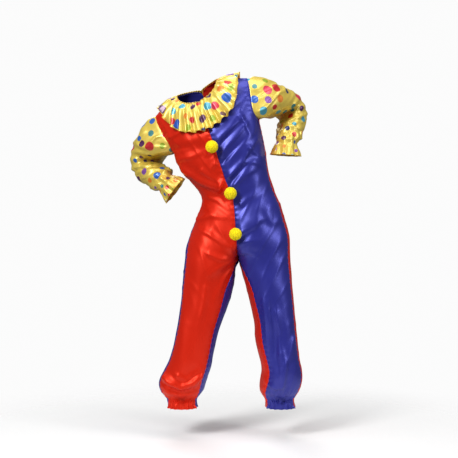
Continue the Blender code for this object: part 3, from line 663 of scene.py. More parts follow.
def round_loop(points, loop_points):
    """How far round a closed loop, from 0 to 1, each point is, and its distance from it."""
    closed = np.vstack([loop_points, loop_points[:1]])
    along = np.concatenate([[0.0], np.cumsum(np.linalg.norm(np.diff(closed, axis=0), axis=1))])
    which, off = nearest_of(points, loop_points)
    return along[which] / along[-1], off


def wear_down(thing, rounds, group=""):
    """Smooths a sheet, or only the points of a group of it."""
    only(thing)
    wear = thing.modifiers.new("wear", "SMOOTH")
    wear.factor, wear.iterations, wear.vertex_group = 0.5, rounds, group
    bpy.ops.object.modifier_apply(modifier=wear.name)


def ease_spikes(thing, rounds):
    """Smooths a sheet a little, all but its edges, which stay where their seams are."""
    held = set(np.concatenate(open_edges(thing)).tolist())
    inner = thing.vertex_groups.new(name="inner")
    free = [i for i in range(len(thing.data.vertices)) if i not in held]
    inner.add(free, 1.0, "REPLACE")
    wear_down(thing, rounds, inner.name)
    thing.vertex_groups.clear()


def sleeve_creases(thing, seed):
    """Lifts a sleeve's points into its creases. Returns the points of its hem, in order."""
    points, normals = points_of(thing), normals_of(thing)
    armhole, hem = open_edges(thing)[-2:]  # the hem is gathered from more cells
    elbow, ways = bend_of(points, armhole, hem)
    along, inner, over = ((points - elbow) @ way for way in ways)
    angle = np.arctan2(over, inner)
    open_out = (1 - np.cos(angle)) / 2  # 0 inside the elbow, 1 outside
    from_armhole = far_from(points, points[armhole])
    around, off = round_loop(points, points[hem])

    # creases round the elbow
    spacing = 0.020 + 0.030 * open_out
    drift = 1.3 * wander(points, 0.07, seed) + 0.5 * np.sin(angle)
    wave = np.cos(2 * math.pi * along / spacing + 2.2 * drift)
    size = (0.0062 - 0.0028 * open_out) * (1 + 0.6 * wander(points, 0.05, seed + 1))
    lift = size * wave * hump(along, 0.032 + 0.050 * open_out)

    # loose ones all over, and more of them below the elbow
    tilted = points + 0.02 * np.stack([wander(points, 0.08, seed + k) for k in (2, 3, 4)], axis=1)
    turned = tilted @ ways.T
    lift += 0.0056 * ripple(turned, (0.042, 0.10, 0.10), seed)
    lower_arm = 0.3 + 0.7 * ease(along / 0.06 + 0.5)
    lift -= 0.0040 * lower_arm * ripple(turned, (0.030, 0.065, 0.065), seed + 3)
    lift += 0.0010 * wander(points, 0.05, seed + 5)

    # quieter where the cloth is pressed together, and at both ends
    pressed = hump(along, 0.034) * (1 - open_out) ** 0.5
    lift *= (1 - 0.72 * pressed) * ease((off - 0.05) / 0.03) * ease(from_armhole / 0.03)

    # the groove of the elastic, the cloth that bulges above it, and the frill
    crimp = np.cos(2 * math.pi * CUFF_CRIMPS * around + 2.0 * wander(points, 0.04, seed + 6))
    from_elastic = off - CUFF_FRILL
    lift += 0.0022 * hump(from_elastic, 0.014) * crimp - 0.0040 * hump(from_elastic, 0.007)
    lift += 0.0040 * hump(from_elastic - 0.024, 0.013) * (1 + 0.5 * crimp)
    frill = np.cos(2 * math.pi * FRILL_WAVES * around + 1.5 * drift)
    lift += 0.0016 * ease(1 - off / 0.05) * frill
    lift -= 0.0010 * hump(from_armhole, 0.005)
    place_points(thing, points + normals * lift[:, None])
    ease_spikes(thing, 2 * (ROUNDS - 1))
    return hem


hems = {name: sleeve_creases(cloth[name], 11 + 9 * i) for i, name in enumerate(SLEEVES)}
print("hem points:", {name: len(loop) for name, loop in hems.items()})

# %% [markdown]
# ## Close the seams
# Two pieces that are sewn together meet edge to edge. The sheets nearly do, but the rims
# took a little cloth with them where three or four pieces come together, and rounding
# pulled the edges in. So each edge is drawn up to the nearest one beside it, and the cloth
# behind it follows over a few centimetres. Hems and the neck's edge stay as they are.

# %% Close the seams
NECK_REACH = 0.122  # all of the neck's edge lies nearer the origin than this
SEAM_REACH = {**dict.fromkeys(PANELS, 0.013), **dict.fromkeys(SLEEVES, 0.05)}
SEAM_GAP = 0.0003  # the sheets may stand this far apart
ANKLE_KEPT = 0.03  # nothing is drawn within this height of the hem
FOLLOWS = 0.035  # how far from the edge the cloth still moves with it


def seat_edge(thing, loop, others, reach):
    """Draws an edge up to the sheets beside it where it stands off them by under a reach."""
    points = points_of(thing)
    edge = points[loop]
    which, gap = nearest_of(edge, others)
    drawn = ease((gap - SEAM_GAP) / (2 * SEAM_GAP)) * (1 - ease((gap - reach) / 0.004))
    drawn *= (edge[:, 2] > HEM_Z + ANKLE_KEPT) & (np.linalg.norm(edge, axis=1) > NECK_REACH)
    pull = (others[which] - edge) * drawn[:, None]
    which, off = nearest_of(points, edge)
    place_points(thing, points + pull[which] * (1 - ease(off / FOLLOWS))[:, None])
    return 1000 * (gap * (drawn > 0)).max()


def seam_loop(name):
    """The open edge of a piece that is sewn: a sleeve's armhole, or all round a panel."""
    return open_edges(cloth[name])[-2 if name in SLEEVES else -1]


def fine_line(name):
    """Points along the edge of a sheet, five to each of its cells."""
    line = points_of(cloth[name])[seam_loop(name)]
    ahead = np.roll(line, -1, axis=0) - line
    return np.vstack([line + share * ahead for share in (0.0, 0.2, 0.4, 0.6, 0.8)])


for name in PANELS + SLEEVES:
    beside = PANELS if name in SLEEVES else [n for n in PANELS + SLEEVES if n != name]
    others = np.vstack([fine_line(n) for n in beside])
    widest = seat_edge(cloth[name], seam_loop(name), others, SEAM_REACH[name])
    print(name, "stood off the sheets beside it by", round(widest, 1), "mm")

# %% [markdown]
# ## The collar's gathers
# The collar is a strip more than twice as long as the neck's edge, drawn up on a thread.
# Its solid has the broad waves, but shallow ones. What a copy loses when it is smoothed is
# the waves alone, so adding that back several times makes them as deep as real ones. Close
# to the neck the gathers are tight: the neck's middle is at the origin, so the angle round
# it numbers them.

# %% The collar's gathers
GATHER_BOOST = 4.7  # how many times the solid's waves are added
THREAD_GATHERS = 46
SMOOTHING = 30 * 4 ** (ROUNDS - 2)  # more of it for finer cells


def smoothed(thing, rounds):
    """The points and normals of a sheet with its waves worn away."""
    worn = thing.copy()
    worn.data = thing.data.copy()
    bpy.context.scene.collection.objects.link(worn)
    wear_down(worn, rounds)
    points, normals = points_of(worn), normals_of(worn)
    bpy.data.objects.remove(worn)
    return points, normals


def gather_collar(thing):
    """Deepens the collar's waves and gathers it. Returns the points of the neck's edge."""
    points = points_of(thing)
    edge = points[open_edges(thing)[-1]]
    neck = edge[np.linalg.norm(edge, axis=1) < NECK_REACH]
    off = far_from(points, neck)
    flat, normals = smoothed(thing, SMOOTHING)
    waves = np.einsum("ij,ij->i", points - flat, normals)
    angle = np.arctan2(points[:, 0], -points[:, 1])
    drift = wander(points, 0.09, 21)
    tight = np.cos(THREAD_GATHERS * angle + 2.4 * drift + 1.3 * np.sin(3 * angle))
    lift = GATHER_BOOST * waves * ease((off - 0.003) / 0.02)
    lift += 0.0022 * tight * hump(off - 0.008, 0.012)
    lift += 0.0018 * wander(points, 0.045, 24) * ease(off / 0.03)
    lift *= ease((math.pi - np.abs(angle)) / 0.06)  # its two ends meet at the back
    place_points(thing, points + normals * (lift + 0.0025)[:, None])
    print("collar's waves (mm):", np.round(1000 * np.percentile(waves, [2, 50, 98]), 1))
    return neck


neck_edge = gather_collar(cloth["collar"])
print("neck's edge:", len(neck_edge), "points")

# %% [markdown]
# ## A chart of the dots
# The yellow satin is printed with dots of many colours. Those that show in the photograph
# are charted on the front view, each with its colour and size.

# %% A chart of the dots
DOT_COLOURS = {
    "red": (0.56, 0.012, 0.016),
    "pink": (0.66, 0.020, 0.070),
    "blue": (0.022, 0.120, 0.500),
    "sky": (0.050, 0.330, 0.450),
    "teal": (0.030, 0.200, 0.220),
    "navy": (0.016, 0.024, 0.140),
    "purple": (0.080, 0.012, 0.090),
    "violet": (0.230, 0.070, 0.370),
    "lime": (0.270, 0.370, 0.012),
    "orange": (0.760, 0.210, 0.016),
}
DOT_CHART = {
    # colour, x and z on the front view (cm), radius (mm)
    "collar": (
        ("purple", -14.9, -7.2, 12.3), ("sky", -10.9, -7.9, 9.8), ("red", -11.3, -12.1, 10.7),
        ("blue", -8.6, -13.2, 14.8), ("orange", -5.6, -9.9, 8.2), ("red", -2.6, -11.5, 9.8),
        ("lime", -4.9, -14.8, 11.5), ("purple", 1.5, -11.0, 12.3), ("lime", 5.6, -10.8, 10.7),
        ("sky", 3.5, -5.6, 13.1), ("pink", 6.6, -5.5, 13.1), ("purple", -2.6, -6.1, 9.0),
        ("blue", 11.3, -2.6, 15.6), ("lime", 13.1, 1.8, 10.7), ("orange", 8.8, 1.6, 11.1),
        ("red", 12.1, 4.3, 11.5), ("violet", 12.7, 7.1, 11.5), ("purple", 10.0, -8.9, 9.0),
        ("navy", 16.1, 3.7, 9.0), ("purple", 4.0, -1.6, 9.0), ("red", -0.4, -4.8, 7.4),
        ("orange", -8.6, -3.4, 9.8), ("purple", -10.6, -2.8, 7.4),
    ),
    "sleeve_left": (
        ("sky", 22.5, 6.5, 12.3), ("lime", 27.2, 4.6, 9.0), ("teal", 22.9, 2.3, 9.8),
        ("pink", 28.2, 0.9, 15.2), ("red", 31.8, 1.7, 13.9), ("navy", 36.2, 0.3, 8.2),
        ("blue", 22.8, -3.0, 15.2), ("violet", 28.5, -3.3, 12.3), ("orange", 33.4, -2.8, 12.3),
        ("red", 31.2, -6.3, 9.8), ("sky", 26.6, -7.9, 15.2), ("teal", 35.4, -8.3, 10.7),
        ("red", 37.6, -9.8, 14.3), ("sky", 39.2, -13.0, 9.8), ("orange", 34.0, -14.1, 9.0),
        ("navy", 36.3, -14.8, 9.8), ("pink", 40.9, -2.1, 12.3), ("purple", 42.3, -6.8, 11.9),
        ("sky", 42.7, -11.2, 11.1), ("red", 39.1, -17.5, 13.1), ("purple", 34.7, -18.6, 11.1),
        ("orange", 35.0, -22.2, 8.2), ("violet", 39.9, -24.1, 8.2),
    ),
    "sleeve_right": (
        ("teal", -19.6, -17.0, 10.2), ("purple", -23.3, -21.2, 9.8), ("red", -20.3, -22.4, 15.2),
        ("lime", -15.0, -22.1, 10.2), ("purple", -23.6, -26.8, 9.4), ("navy", -20.1, -26.2, 8.2),
        ("red", -17.2, -26.2, 10.2), ("blue", -26.1, -28.2, 9.0), ("violet", -22.6, -32.5, 13.1),
        ("blue", -17.2, -34.1, 15.2), ("orange", -20.2, -36.3, 9.4), ("teal", -15.0, -38.7, 9.4),
        ("red", -13.0, -39.2, 9.4), ("purple", -12.5, -35.5, 9.0), ("red", -10.5, -34.1, 7.4),
        ("orange", -9.5, -36.3, 10.2), ("violet", -17.8, -39.3, 7.4), ("lime", -19.1, -29.3, 7.4),
        ("blue", -24.5, -19.1, 7.4),
    ),
}
print("dots charted:", {name: len(chart) for name, chart in DOT_CHART.items()})

# %% [markdown]
# ## Find the charted dots on the cut
# The cloth is printed before it is sewn, so the dots belong to the cut and bend with every
# crease. A ray from the camera finds the cloth below each charted dot, and the corners of
# the face that it hits say where on the cut that is. A dot looks smaller where the cloth
# slants away, so the charted sizes are swelled a little.

# %% Find the charted dots on the cut
DOT_SWELL = {"collar": 1.35, "sleeve_left": 1.15, "sleeve_right": 1.25}


def uv_of(thing):
    """Where on the cut each corner of each face lies, one row each."""
    flat = np.empty(2 * len(thing.data.loops))
    thing.data.uv_layers["cut"].data.foreach_get("uv", flat)
    return flat.reshape(-1, 2)


def charted_dots(thing, chart):
    """The middle on the cut, the radius and the colour of each charted dot."""
    tree = BVHTree.FromPolygons(
        [v.co for v in thing.data.vertices], [list(f.vertices) for f in thing.data.polygons]
    )
    uv, dots = uv_of(thing), []
    for colour, x, z, radius in chart:
        way = Vector((x / 100, 0.0, z / 100)) - camera.location
        place, _, face, _ = tree.ray_cast(camera.location, way.normalized())
        if face is None:
            continue
        loops = list(thing.data.polygons[face].loop_indices)
        corners = [thing.data.vertices[thing.data.loops[i].vertex_index].co for i in loops]
        near = np.array([1e-6 + (corner - place).length for corner in corners]) ** -2
        dots.append((near @ uv[loops] / near.sum(), radius / 1000, colour))
    return dots


dots_of = {}
for name in ("collar", *SLEEVES):
    chart = [(c, x, z, size * DOT_SWELL[name]) for c, x, z, size in DOT_CHART[name]]
    dots_of[name] = charted_dots(cloth[name], chart)
    print(name, "has", len(dots_of[name]), "of", len(chart), "charted dots")

# %% [markdown]
# ## Print the dots
# The rest of the cloth gets the same loose repeat. The dots could be a picture laid over
# the cut, but a picture blurs close up. So each face keeps the way from its nearest dot's
# middle to its corners, measured in that dot's radius, and the dot's colour. From these
# two the material draws a circle that is sharp at any distance.

# %% Print the dots
DOT_SPACING, DOT_ROOM = 0.046, 0.040
ROW_SPACING = 0.87 * DOT_SPACING
DOT_PUSH = 0.009
SMALLEST_DOT, DOT_RANGE = 0.0095, 0.0045


def loose_repeat(dots, wide, long, seed):
    """Adds dots in offset rows, pushed about a little, wherever there is room."""
    names = sorted(DOT_COLOURS)
    rows, columns = int(long / ROW_SPACING) + 2, int(wide / DOT_SPACING) + 2
    for row in range(rows):
        for column in range(columns):
            number = seed * 1000 + row * 37 + column
            push = np.array([math.sin(number * 12.9), math.sin(number * 78.2)]) * DOT_PUSH
            here = np.array([(column + 0.5 * (row % 2)) * DOT_SPACING, row * ROW_SPACING])
            if all(np.linalg.norm(here + push - dot[0]) > DOT_ROOM for dot in dots):
                radius = SMALLEST_DOT + DOT_RANGE * abs(math.sin(number * 3.7))
                colour = names[(row * 3 + column * 7 + seed) % len(names)]
                dots.append((here + push, radius, colour))
    return dots


def print_dots(thing, dots):
    """Stores each corner's way from its face's nearest dot, and that dot's colour."""
    tree = KDTree(len(dots))
    for i, (middle, _, _) in enumerate(dots):
        tree.insert((*middle, 0.0), i)
    tree.balance()
    uv = uv_of(thing)
    ways = np.zeros((len(uv), 3), np.float32)
    colours = np.ones((len(thing.data.polygons), 4), np.float32)
    for face in thing.data.polygons:
        loops = list(face.loop_indices)
        centre = uv[loops].mean(axis=0)
        middle, radius, colour = dots[tree.find((*centre, 0.0))[1]]
        ways[loops, :2] = (uv[loops] - middle) / radius
        colours[face.index, :3] = DOT_COLOURS[colour]
    way = thing.data.attributes.new("dot_way", "FLOAT_VECTOR", "CORNER")
    way.data.foreach_set("vector", ways.ravel())
    paint = thing.data.attributes.new("dot_colour", "FLOAT_COLOR", "FACE")
    paint.data.foreach_set("color", colours.ravel())


for seed, (name, dots) in enumerate(dots_of.items(), start=1):
    charted = len(dots)
    wide, long = uv_of(cloth[name]).max(axis=0)
    print_dots(cloth[name], loose_repeat(dots, wide, long, seed))
    print(name, charted, "charted dots and", len(dots) - charted, "more")

# %% [markdown]
# ## Rolled hems and the neck's binding
# The collar, the cuffs and the ankles end in a narrow rolled hem, and the neck's edge is
# bound in a soft strip. Each is a round cord of cloth laid along the sheet's open edge: a
# curve through the edge's points with a thickness, then made into a mesh.

# %% Rolled hems and the neck's binding
HEM_RADIUS, BINDING_RADIUS = 0.0011, 0.0018
COLLAR_HEM_BEYOND = 0.072  # the collar's hem lies further from the neck's edge than this


def roll_along(name, points, radius, closed=False, crimp=0.0):
    """A round cord along a line of points; crimp makes its thickness uneven."""
    curve = bpy.data.curves.new(name, "CURVE")
    curve.dimensions = "3D"
    curve.bevel_depth, curve.bevel_resolution, curve.use_fill_caps = radius, 1, not closed
    spline = curve.splines.new("POLY")
    spline.points.add(len(points) - 1)
    for i, (target, point) in enumerate(zip(spline.points, points)):
        target.co = (*point, 1.0)
        target.radius = 1.0 + crimp * math.sin(i * 2.1) * math.sin(i * 0.37)
    spline.use_cyclic_u = closed
    roll = bpy.data.objects.new(name, curve)
    bpy.context.scene.collection.objects.link(roll)
    only(roll)
    bpy.ops.object.convert(target="MESH")
    bpy.ops.object.shade_smooth()
    return bpy.context.active_object


def runs_of(loop, kept):
    """The longest stretch of a closed loop whose points are all kept."""
    if all(kept):
        return loop
    start = next(i for i, keep in enumerate(kept) if not keep)
    best, run = [], []
    for i in range(len(loop) + 1):
        place = (start + i) % len(loop)
        if kept[place]:
            run.append(loop[place])
        else:
            best, run = max(best, run, key=len), []
    return best


def edge_run(thing, keep):
    """The points of the longest stretch of a sheet's open edge that keep accepts."""
    points = points_of(thing)
    loop = open_edges(thing)[-1]
    return points[runs_of(loop, [bool(keep(points[i])) for i in loop])]


rolls = {}
neck = edge_run(cloth["collar"], lambda p: np.linalg.norm(p) < NECK_REACH)
outer = edge_run(
    cloth["collar"], lambda p: np.linalg.norm(neck - p, axis=1).min() > COLLAR_HEM_BEYOND
)
rolls["collar_hem"] = roll_along("collar_hem", outer[::2], HEM_RADIUS)
rolls["neck_binding"] = roll_along("neck_binding", neck[::3], BINDING_RADIUS, crimp=0.12)
for name in SLEEVES:
    hem = points_of(cloth[name])[hems[name]]
    cuff = name.replace("sleeve", "cuff_hem")
    rolls[name] = roll_along(cuff, hem[::2], HEM_RADIUS, closed=True)
for name in PANELS:
    hem = edge_run(cloth[name], lambda p: p[2] < HEM_Z + HEM_BAND)
    rolls[name] = roll_along(name + "_hem", hem, HEM_RADIUS)
print("rolls:", sorted(rolls))

# %% [markdown]
# ## Yarn pompoms
# A pompom is hundreds of strands of cut yarn, tied in the middle and trimmed to a ball.
# One strand is a short three-sided rod. Copies of it point outwards, evenly spread, each
# turned and shortened a little, round a core that closes the gaps between them.

# %% Yarn pompoms
STRANDS = 1200
POMPOM_RADIUS, CORE_RADIUS = 0.0255, 0.0222
ROOT, ROOT_THICK, TIP_THICK = 0.019, 0.0011, 0.00095  # of a strand
LEAN, TRIM = 0.16, 0.0011  # how much strands differ in their way and their length


def yarn_ball(name, seed):
    """A pompom in the place of its solid: the core, and all the strands in one mesh."""
    low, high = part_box(name)
    middle = (Vector(low) + Vector(high)) / 2
    bpy.ops.mesh.primitive_ico_sphere_add(subdivisions=3, radius=CORE_RADIUS, location=middle)
    ball = bpy.context.active_object
    ball.name = name + "_yarn"
    bpy.ops.object.transform_apply(location=True)
    points, faces = [], []
    for i in range(STRANDS):
        height = 1 - 2 * (i + 0.5) / STRANDS
        turn = i * math.pi * (3 - math.sqrt(5)) + seed
        flat = math.sqrt(1 - height * height)
        way = Vector((flat * math.cos(turn), flat * math.sin(turn), height))
        number = i + seed * STRANDS
        lean = Vector((math.sin(number * 1.7), math.sin(number * 2.9), math.sin(number * 4.3)))
        way = (way + LEAN * lean).normalized()
        length = POMPOM_RADIUS - TRIM * abs(math.sin(number * 5.1))
        beside = way.orthogonal().normalized()
        over = way.cross(beside)
        first = len(points)
        for reach, thick in ((ROOT, ROOT_THICK), (length, TIP_THICK)):
            for corner in range(3):
                spin = number + corner * 2 * math.pi / 3
                offset = beside * math.cos(spin) + over * math.sin(spin)
                points.append(middle + way * reach + offset * thick)
        for corner in range(3):
            after = (corner + 1) % 3
            faces.append((first + corner, first + after, first + 3 + after, first + 3 + corner))
        faces.append((first + 3, first + 4, first + 5))
    strands = bpy.data.meshes.new(name + "_strands")
    strands.from_pydata(points, [], faces)
    cut = bpy.data.objects.new(name + "_strands", strands)
    bpy.context.scene.collection.objects.link(cut)
    only(ball)
    cut.select_set(True)
    bpy.ops.object.join()
    return ball


POMPOMS = ("pompom_1", "pompom_2", "pompom_3")
yarn = {name: yarn_ball(name, i) for i, name in enumerate(POMPOMS)}
print("faces of a pompom:", len(yarn["pompom_1"].data.polygons))

# %% [markdown]
# ## The placket
# Down the middle of the back, a narrow strip covers the tapes that close the suit. It is
# lifted off its own solid and refined in the same way as the panels.

# %% The placket
placket = sheet_from("back_placket", up=Vector((0.0, 1.0, 0.0)))
print("placket's cut (m, m, m2):", [round(float(x), 3) for x in flatten(placket)])
refine(placket, 3)

# %% [markdown]
# ## The placket's stitches
# A row of stitches runs along each side of the strip, a little in from its edge. One stitch
# is a low pointed ridge of four faces, and both rows are copies of it laid along a line.

# %% The placket's stitches
STITCH_SPACING, STITCH_SHARE, STITCH_INSET = 0.0036, 0.68, 0.002
STITCH_WIDTH, STITCH_HEIGHT, STITCH_LIFT = 0.00028, 0.00035, 0.0003


def sew_stitches(name, points, normals, spacing):
    """Short raised stitches end to end along a line, all in one mesh."""
    along = np.concatenate([[0.0], np.cumsum(np.linalg.norm(np.diff(points, axis=0), axis=1))])
    stitches = []
    for start in np.arange(spacing, along[-1] - spacing, spacing):
        ends = [
            Vector([np.interp(start + part, along, points[:, k]) for k in range(3)])
            for part in (0.0, STITCH_SHARE * spacing)
        ]
        up = Vector([np.interp(start, along, normals[:, k]) for k in range(3)]).normalized()
        stitches.append((ends[0] + up * STITCH_LIFT, ends[1] + up * STITCH_LIFT, up))
    verts, faces = [], []
    for start, end, up in stitches:
        side = (end - start).normalized().cross(up) * STITCH_WIDTH
        lift = up * STITCH_HEIGHT
        first = len(verts)
        middle = (start + end) / 2
        verts += [start, middle + side + lift * 0.4, end, middle - side + lift * 0.4, middle + lift]
        faces += [(first + a, first + (a + 1) % 4, first + 4) for a in range(4)]
    mesh = bpy.data.meshes.new(name)
    mesh.from_pydata(verts, [], faces)
    thing = bpy.data.objects.new(name, mesh)
    bpy.context.scene.collection.objects.link(thing)
    return thing


def stitched_lines(thing, inset):
    """The two long sides of a strip, drawn in by inset, with the cloth's normals there."""
    points, normals = points_of(thing), normals_of(thing)
    loop = open_edges(thing)[-1]
    low, high = points[loop][:, 2].min(), points[loop][:, 2].max()

    def middle(z):
        return points[np.abs(points[:, 2] - z) < 0.006].mean(axis=0)

    lines = []
    for side in (-1, 1):
        kept = []
        for x, _, z in points[loop]:
            kept.append(low + 0.004 < z < high - 0.004 and side * (x - middle(z)[0]) > 0)
        run = runs_of(loop, kept)
        inwards = np.array([middle(points[i][2]) - points[i] for i in run])
        inwards /= np.linalg.norm(inwards, axis=1)[:, None]
        lines.append((points[run] + inset * inwards, normals[run]))
    return lines


placket_stitches = [
    sew_stitches(f"placket_stitches_{i + 1}", line, up, STITCH_SPACING)
    for i, (line, up) in enumerate(stitched_lines(placket, STITCH_INSET))
]
print("placket stitches:", [len(thing.data.polygons) // 4 for thing in placket_stitches])

# %% [markdown]
# ## Shader maths
# A material is a web of nodes. Wrapping a node's output in a small class lets its sums be
# written as plain Python, so that 1.0 - reach adds the Math node that it needs.

# %% Shader maths


class Wire:
    """The output of a node; sums with it add Math nodes."""

    def __init__(self, tree, socket):
        self.tree, self.socket = tree, socket

    def math(self, operation, *values):
        node = self.tree.nodes.new("ShaderNodeMath")
        node.operation = operation
        for slot, value in zip(node.inputs, values):
            if isinstance(value, Wire):
                self.tree.links.new(value.socket, slot)
            else:
                slot.default_value = value
        return Wire(self.tree, node.outputs[0])

    def __add__(self, other):
        return self.math("ADD", self, other)

    def __radd__(self, other):
        return self.math("ADD", other, self)

    def __sub__(self, other):
        return self.math("SUBTRACT", self, other)

    def __rsub__(self, other):
        return self.math("SUBTRACT", other, self)

    def __mul__(self, other):
        return self.math("MULTIPLY", self, other)

    def __rmul__(self, other):
        return self.math("MULTIPLY", other, self)

    def clamped(self):
        return self.math("MINIMUM", self.math("MAXIMUM", self, 0.0), 1.0)


print("sums of a wire:", [name for name in vars(Wire) if name[-5:] in ("add__", "sub__", "mul__")])

# %% [markdown]
# ## A finish and its nodes
# Every finish here is one material with a Principled shader. One method adds any node by
# its type, its settings and its values or links, and one feeds a socket of the shader. The
# others name what cloth and yarn both need: a mix of two colours, a noise and a bump.

# %% A finish and its nodes


class Finish:
    """A material with a Principled shader, whose fixed values are given by socket."""

    def __init__(self, name, fixed):
        self.material = bpy.data.materials.new(name)
        self.material.use_nodes = True
        self.tree = self.material.node_tree
        self.shader = self.tree.nodes["Principled BSDF"]
        for socket, value in fixed.items():
            self.shader.inputs[socket].default_value = value

    def node(self, kind, settings=None, values=None, output=0):
        node = self.tree.nodes.new(kind)
        for key, value in (settings or {}).items():
            setattr(node, key, value)
        for key, value in (values or {}).items():
            if isinstance(value, Wire):
                self.tree.links.new(value.socket, node.inputs[key])
            else:
                node.inputs[key].default_value = value
        return Wire(self.tree, node.outputs[output])

    def feed(self, socket, value):
        self.tree.links.new(value.socket, self.shader.inputs[socket])

    def mixed(self, share, first, second):
        """A colour between two others; share is a number's wire."""
        names = {"Factor": share, 6: first, 7: second}
        return self.node("ShaderNodeMix", {"data_type": "RGBA"}, names, output=2)

    def noisy(self, place, scale, detail=2.0):
        values = {"Vector": place, "Scale": scale, "Detail": detail}
        return self.node("ShaderNodeTexNoise", {}, values)

    def stretched(self, place, scale):
        return self.node("ShaderNodeMapping", {}, {"Vector": place, "Scale": scale})

    def bumped(self, height, distance, strength=1.0, under=None):
        values = {"Height": height, "Distance": distance, "Strength": strength}
        if under:
            values["Normal"] = under
        return self.node("ShaderNodeBump", {}, values)


print("a finish can have:", [name for name in vars(Finish) if not name.startswith("_")])

# %% [markdown]
# ## Satin
# Satin is a weave whose long floating threads lie side by side, so it is smooth and
# glossy on its face and dull on its back. Its gloss is broad and takes some of the
# thread's colour. A rather rough face that is partly metallic gives that, with a tint for
# the reflection. Fine threads run along the cut, and a slight crumple breaks the gloss.

# %% Satin
THREADS = (2400.0, 150.0, 1.0)  # how many times the noise is stretched along the cut
DOT_EDGE = 22.0  # how sharp a printed dot's edge is


def satin(name, colour, shade, gloss, dotted=False):
    """The face of a satin in two shades of its colour, with or without printed dots."""
    finish = Finish(name, gloss)
    cut = finish.node("ShaderNodeUVMap", {"uv_map": "cut"})
    place = finish.node("ShaderNodeTexCoord", output=3)
    cloudy = finish.noisy(place, 9.0)
    base = finish.mixed((cloudy - 0.35).clamped(), (*colour, 1.0), (*shade, 1.0))
    if dotted:
        way = finish.node("ShaderNodeAttribute", {"attribute_name": "dot_way"}, output=1)
        paint = finish.node("ShaderNodeAttribute", {"attribute_name": "dot_colour"})
        reach = finish.node("ShaderNodeVectorMath", {"operation": "LENGTH"}, {0: way}, output=1)
        base = finish.mixed(((1.0 - reach) * DOT_EDGE + 0.5).clamped(), base, paint)
    threads = finish.noisy(finish.stretched(cut, THREADS), 1.0)
    soft = finish.bumped(finish.noisy(place, 38.0), 0.0012, 0.35)
    finish.feed("Base Color", base)
    finish.feed("Roughness", 0.04 * finish.noisy(place, 30.0) + gloss["Roughness"])
    finish.feed("Normal", finish.bumped(threads, 0.00006, 0.6, under=soft))
    return finish.material


def satin_back(name, colour):
    """The back of a satin, where its threads run the other way."""
    finish = Finish(name, {"Roughness": 0.75, "Specular IOR Level": 0.25})
    cut = finish.node("ShaderNodeUVMap", {"uv_map": "cut"})
    threads = finish.noisy(finish.stretched(cut, (150.0, 2400.0, 1.0)), 1.0)
    darker = [0.7 * part for part in colour]
    finish.feed("Base Color", finish.mixed(threads, (*colour, 1.0), (*darker, 1.0)))
    finish.feed("Normal", finish.bumped(threads, 0.00008, 0.7))
    return finish.material


def gloss_of(roughness, metal, level, tint):
    """The fixed values of a satin's shader, by socket."""
    return {
        "Roughness": roughness,
        "Metallic": metal,
        "Specular IOR Level": level,
        "Specular Tint": (*tint, 1.0),
    }


RED, RED_SHADE = (0.70, 0.015, 0.003), (0.64, 0.011, 0.002)
BLUE, BLUE_SHADE = (0.024, 0.026, 0.290), (0.020, 0.021, 0.250)
YELLOW, YELLOW_SHADE = (0.74, 0.555, 0.085), (0.68, 0.49, 0.065)
red_gloss = gloss_of(0.40, 0.28, 0.60, (1.0, 0.55, 0.36))
blue_gloss = gloss_of(0.36, 0.34, 1.00, (0.62, 0.66, 1.0))
yellow_gloss = gloss_of(0.33, 0.26, 1.00, (1.0, 1.0, 0.85))
red_satin = satin("red_face", RED, RED_SHADE, red_gloss)
blue_satin = satin("blue_face", BLUE, BLUE_SHADE, blue_gloss)
dotted_satin = satin("dotted_face", YELLOW, YELLOW_SHADE, yellow_gloss, dotted=True)
plain_yellow = satin("yellow_hem", (0.62, 0.40, 0.040), (0.52, 0.32, 0.030), yellow_gloss)
backs = {
    red_satin: satin_back("red_back", RED),
    blue_satin: satin_back("blue_back", BLUE),
    dotted_satin: satin_back("yellow_back", YELLOW),
}
print("satins:", [material.name for material in (red_satin, blue_satin, dotted_satin)])

# %% [markdown]
# ## Yarn, thread and the floor
# Yarn scatters light among its fibres, so it is matt with a soft sheen, and its strands
# differ a little. The thread of the stitches takes the same finish in red. The floor is
# plain and pale, and fades out before its rim, so that it melts into the white room.

# %% Yarn, thread and the floor


def yarn_finish(name, colour, shade):
    """Matt fibres, speckled in two shades of a colour."""
    fixed = {"Roughness": 0.9, "Specular IOR Level": 0.2, "Sheen Weight": 0.5}
    finish = Finish(name, {**fixed, "Sheen Tint": (1.0, 0.95, 0.4, 1.0)})
    place = finish.node("ShaderNodeTexCoord", output=3)
    speckle = finish.noisy(place, 420.0)
    finish.feed("Base Color", finish.mixed(speckle, (*shade, 1.0), (*colour, 1.0)))
    finish.feed("Normal", finish.bumped(finish.noisy(place, 2200.0), 0.0002, 0.6))
    return finish.material


yellow_yarn = yarn_finish("yellow_strands", (1.0, 0.92, 0.010), (0.98, 0.80, 0.004))
thread = yarn_finish("red_thread", (0.50, 0.012, 0.006), (0.36, 0.008, 0.004))
floor_finish = Finish("pale_floor", {"Roughness": 0.7, "Base Color": (0.95, 0.95, 0.95, 1.0)})
on_floor = floor_finish.node("ShaderNodeTexCoord", output=3)
from_middle = floor_finish.node(
    "ShaderNodeVectorMath", {"operation": "LENGTH"}, {0: on_floor}, output=1
)
fading = {"From Min": 0.25, "From Max": 0.95 * FLOOR_RADIUS, "To Min": 1.0, "To Max": 0.0}
fade = floor_finish.node(
    "ShaderNodeMapRange", {"interpolation_type": "SMOOTHSTEP"}, {"Value": from_middle, **fading}
)
floor_finish.feed("Alpha", fade)
floor.data.materials.append(floor_finish.material)
print("yarn and thread:", yellow_yarn.name, thread.name)

# %% [markdown]
# ## Give the sheets their thickness
# Solidify gives each sheet a millimetre of cloth, with the dull back of the satin inside.
# Each sheet then takes the place of its solid and rides on the suit's one body.

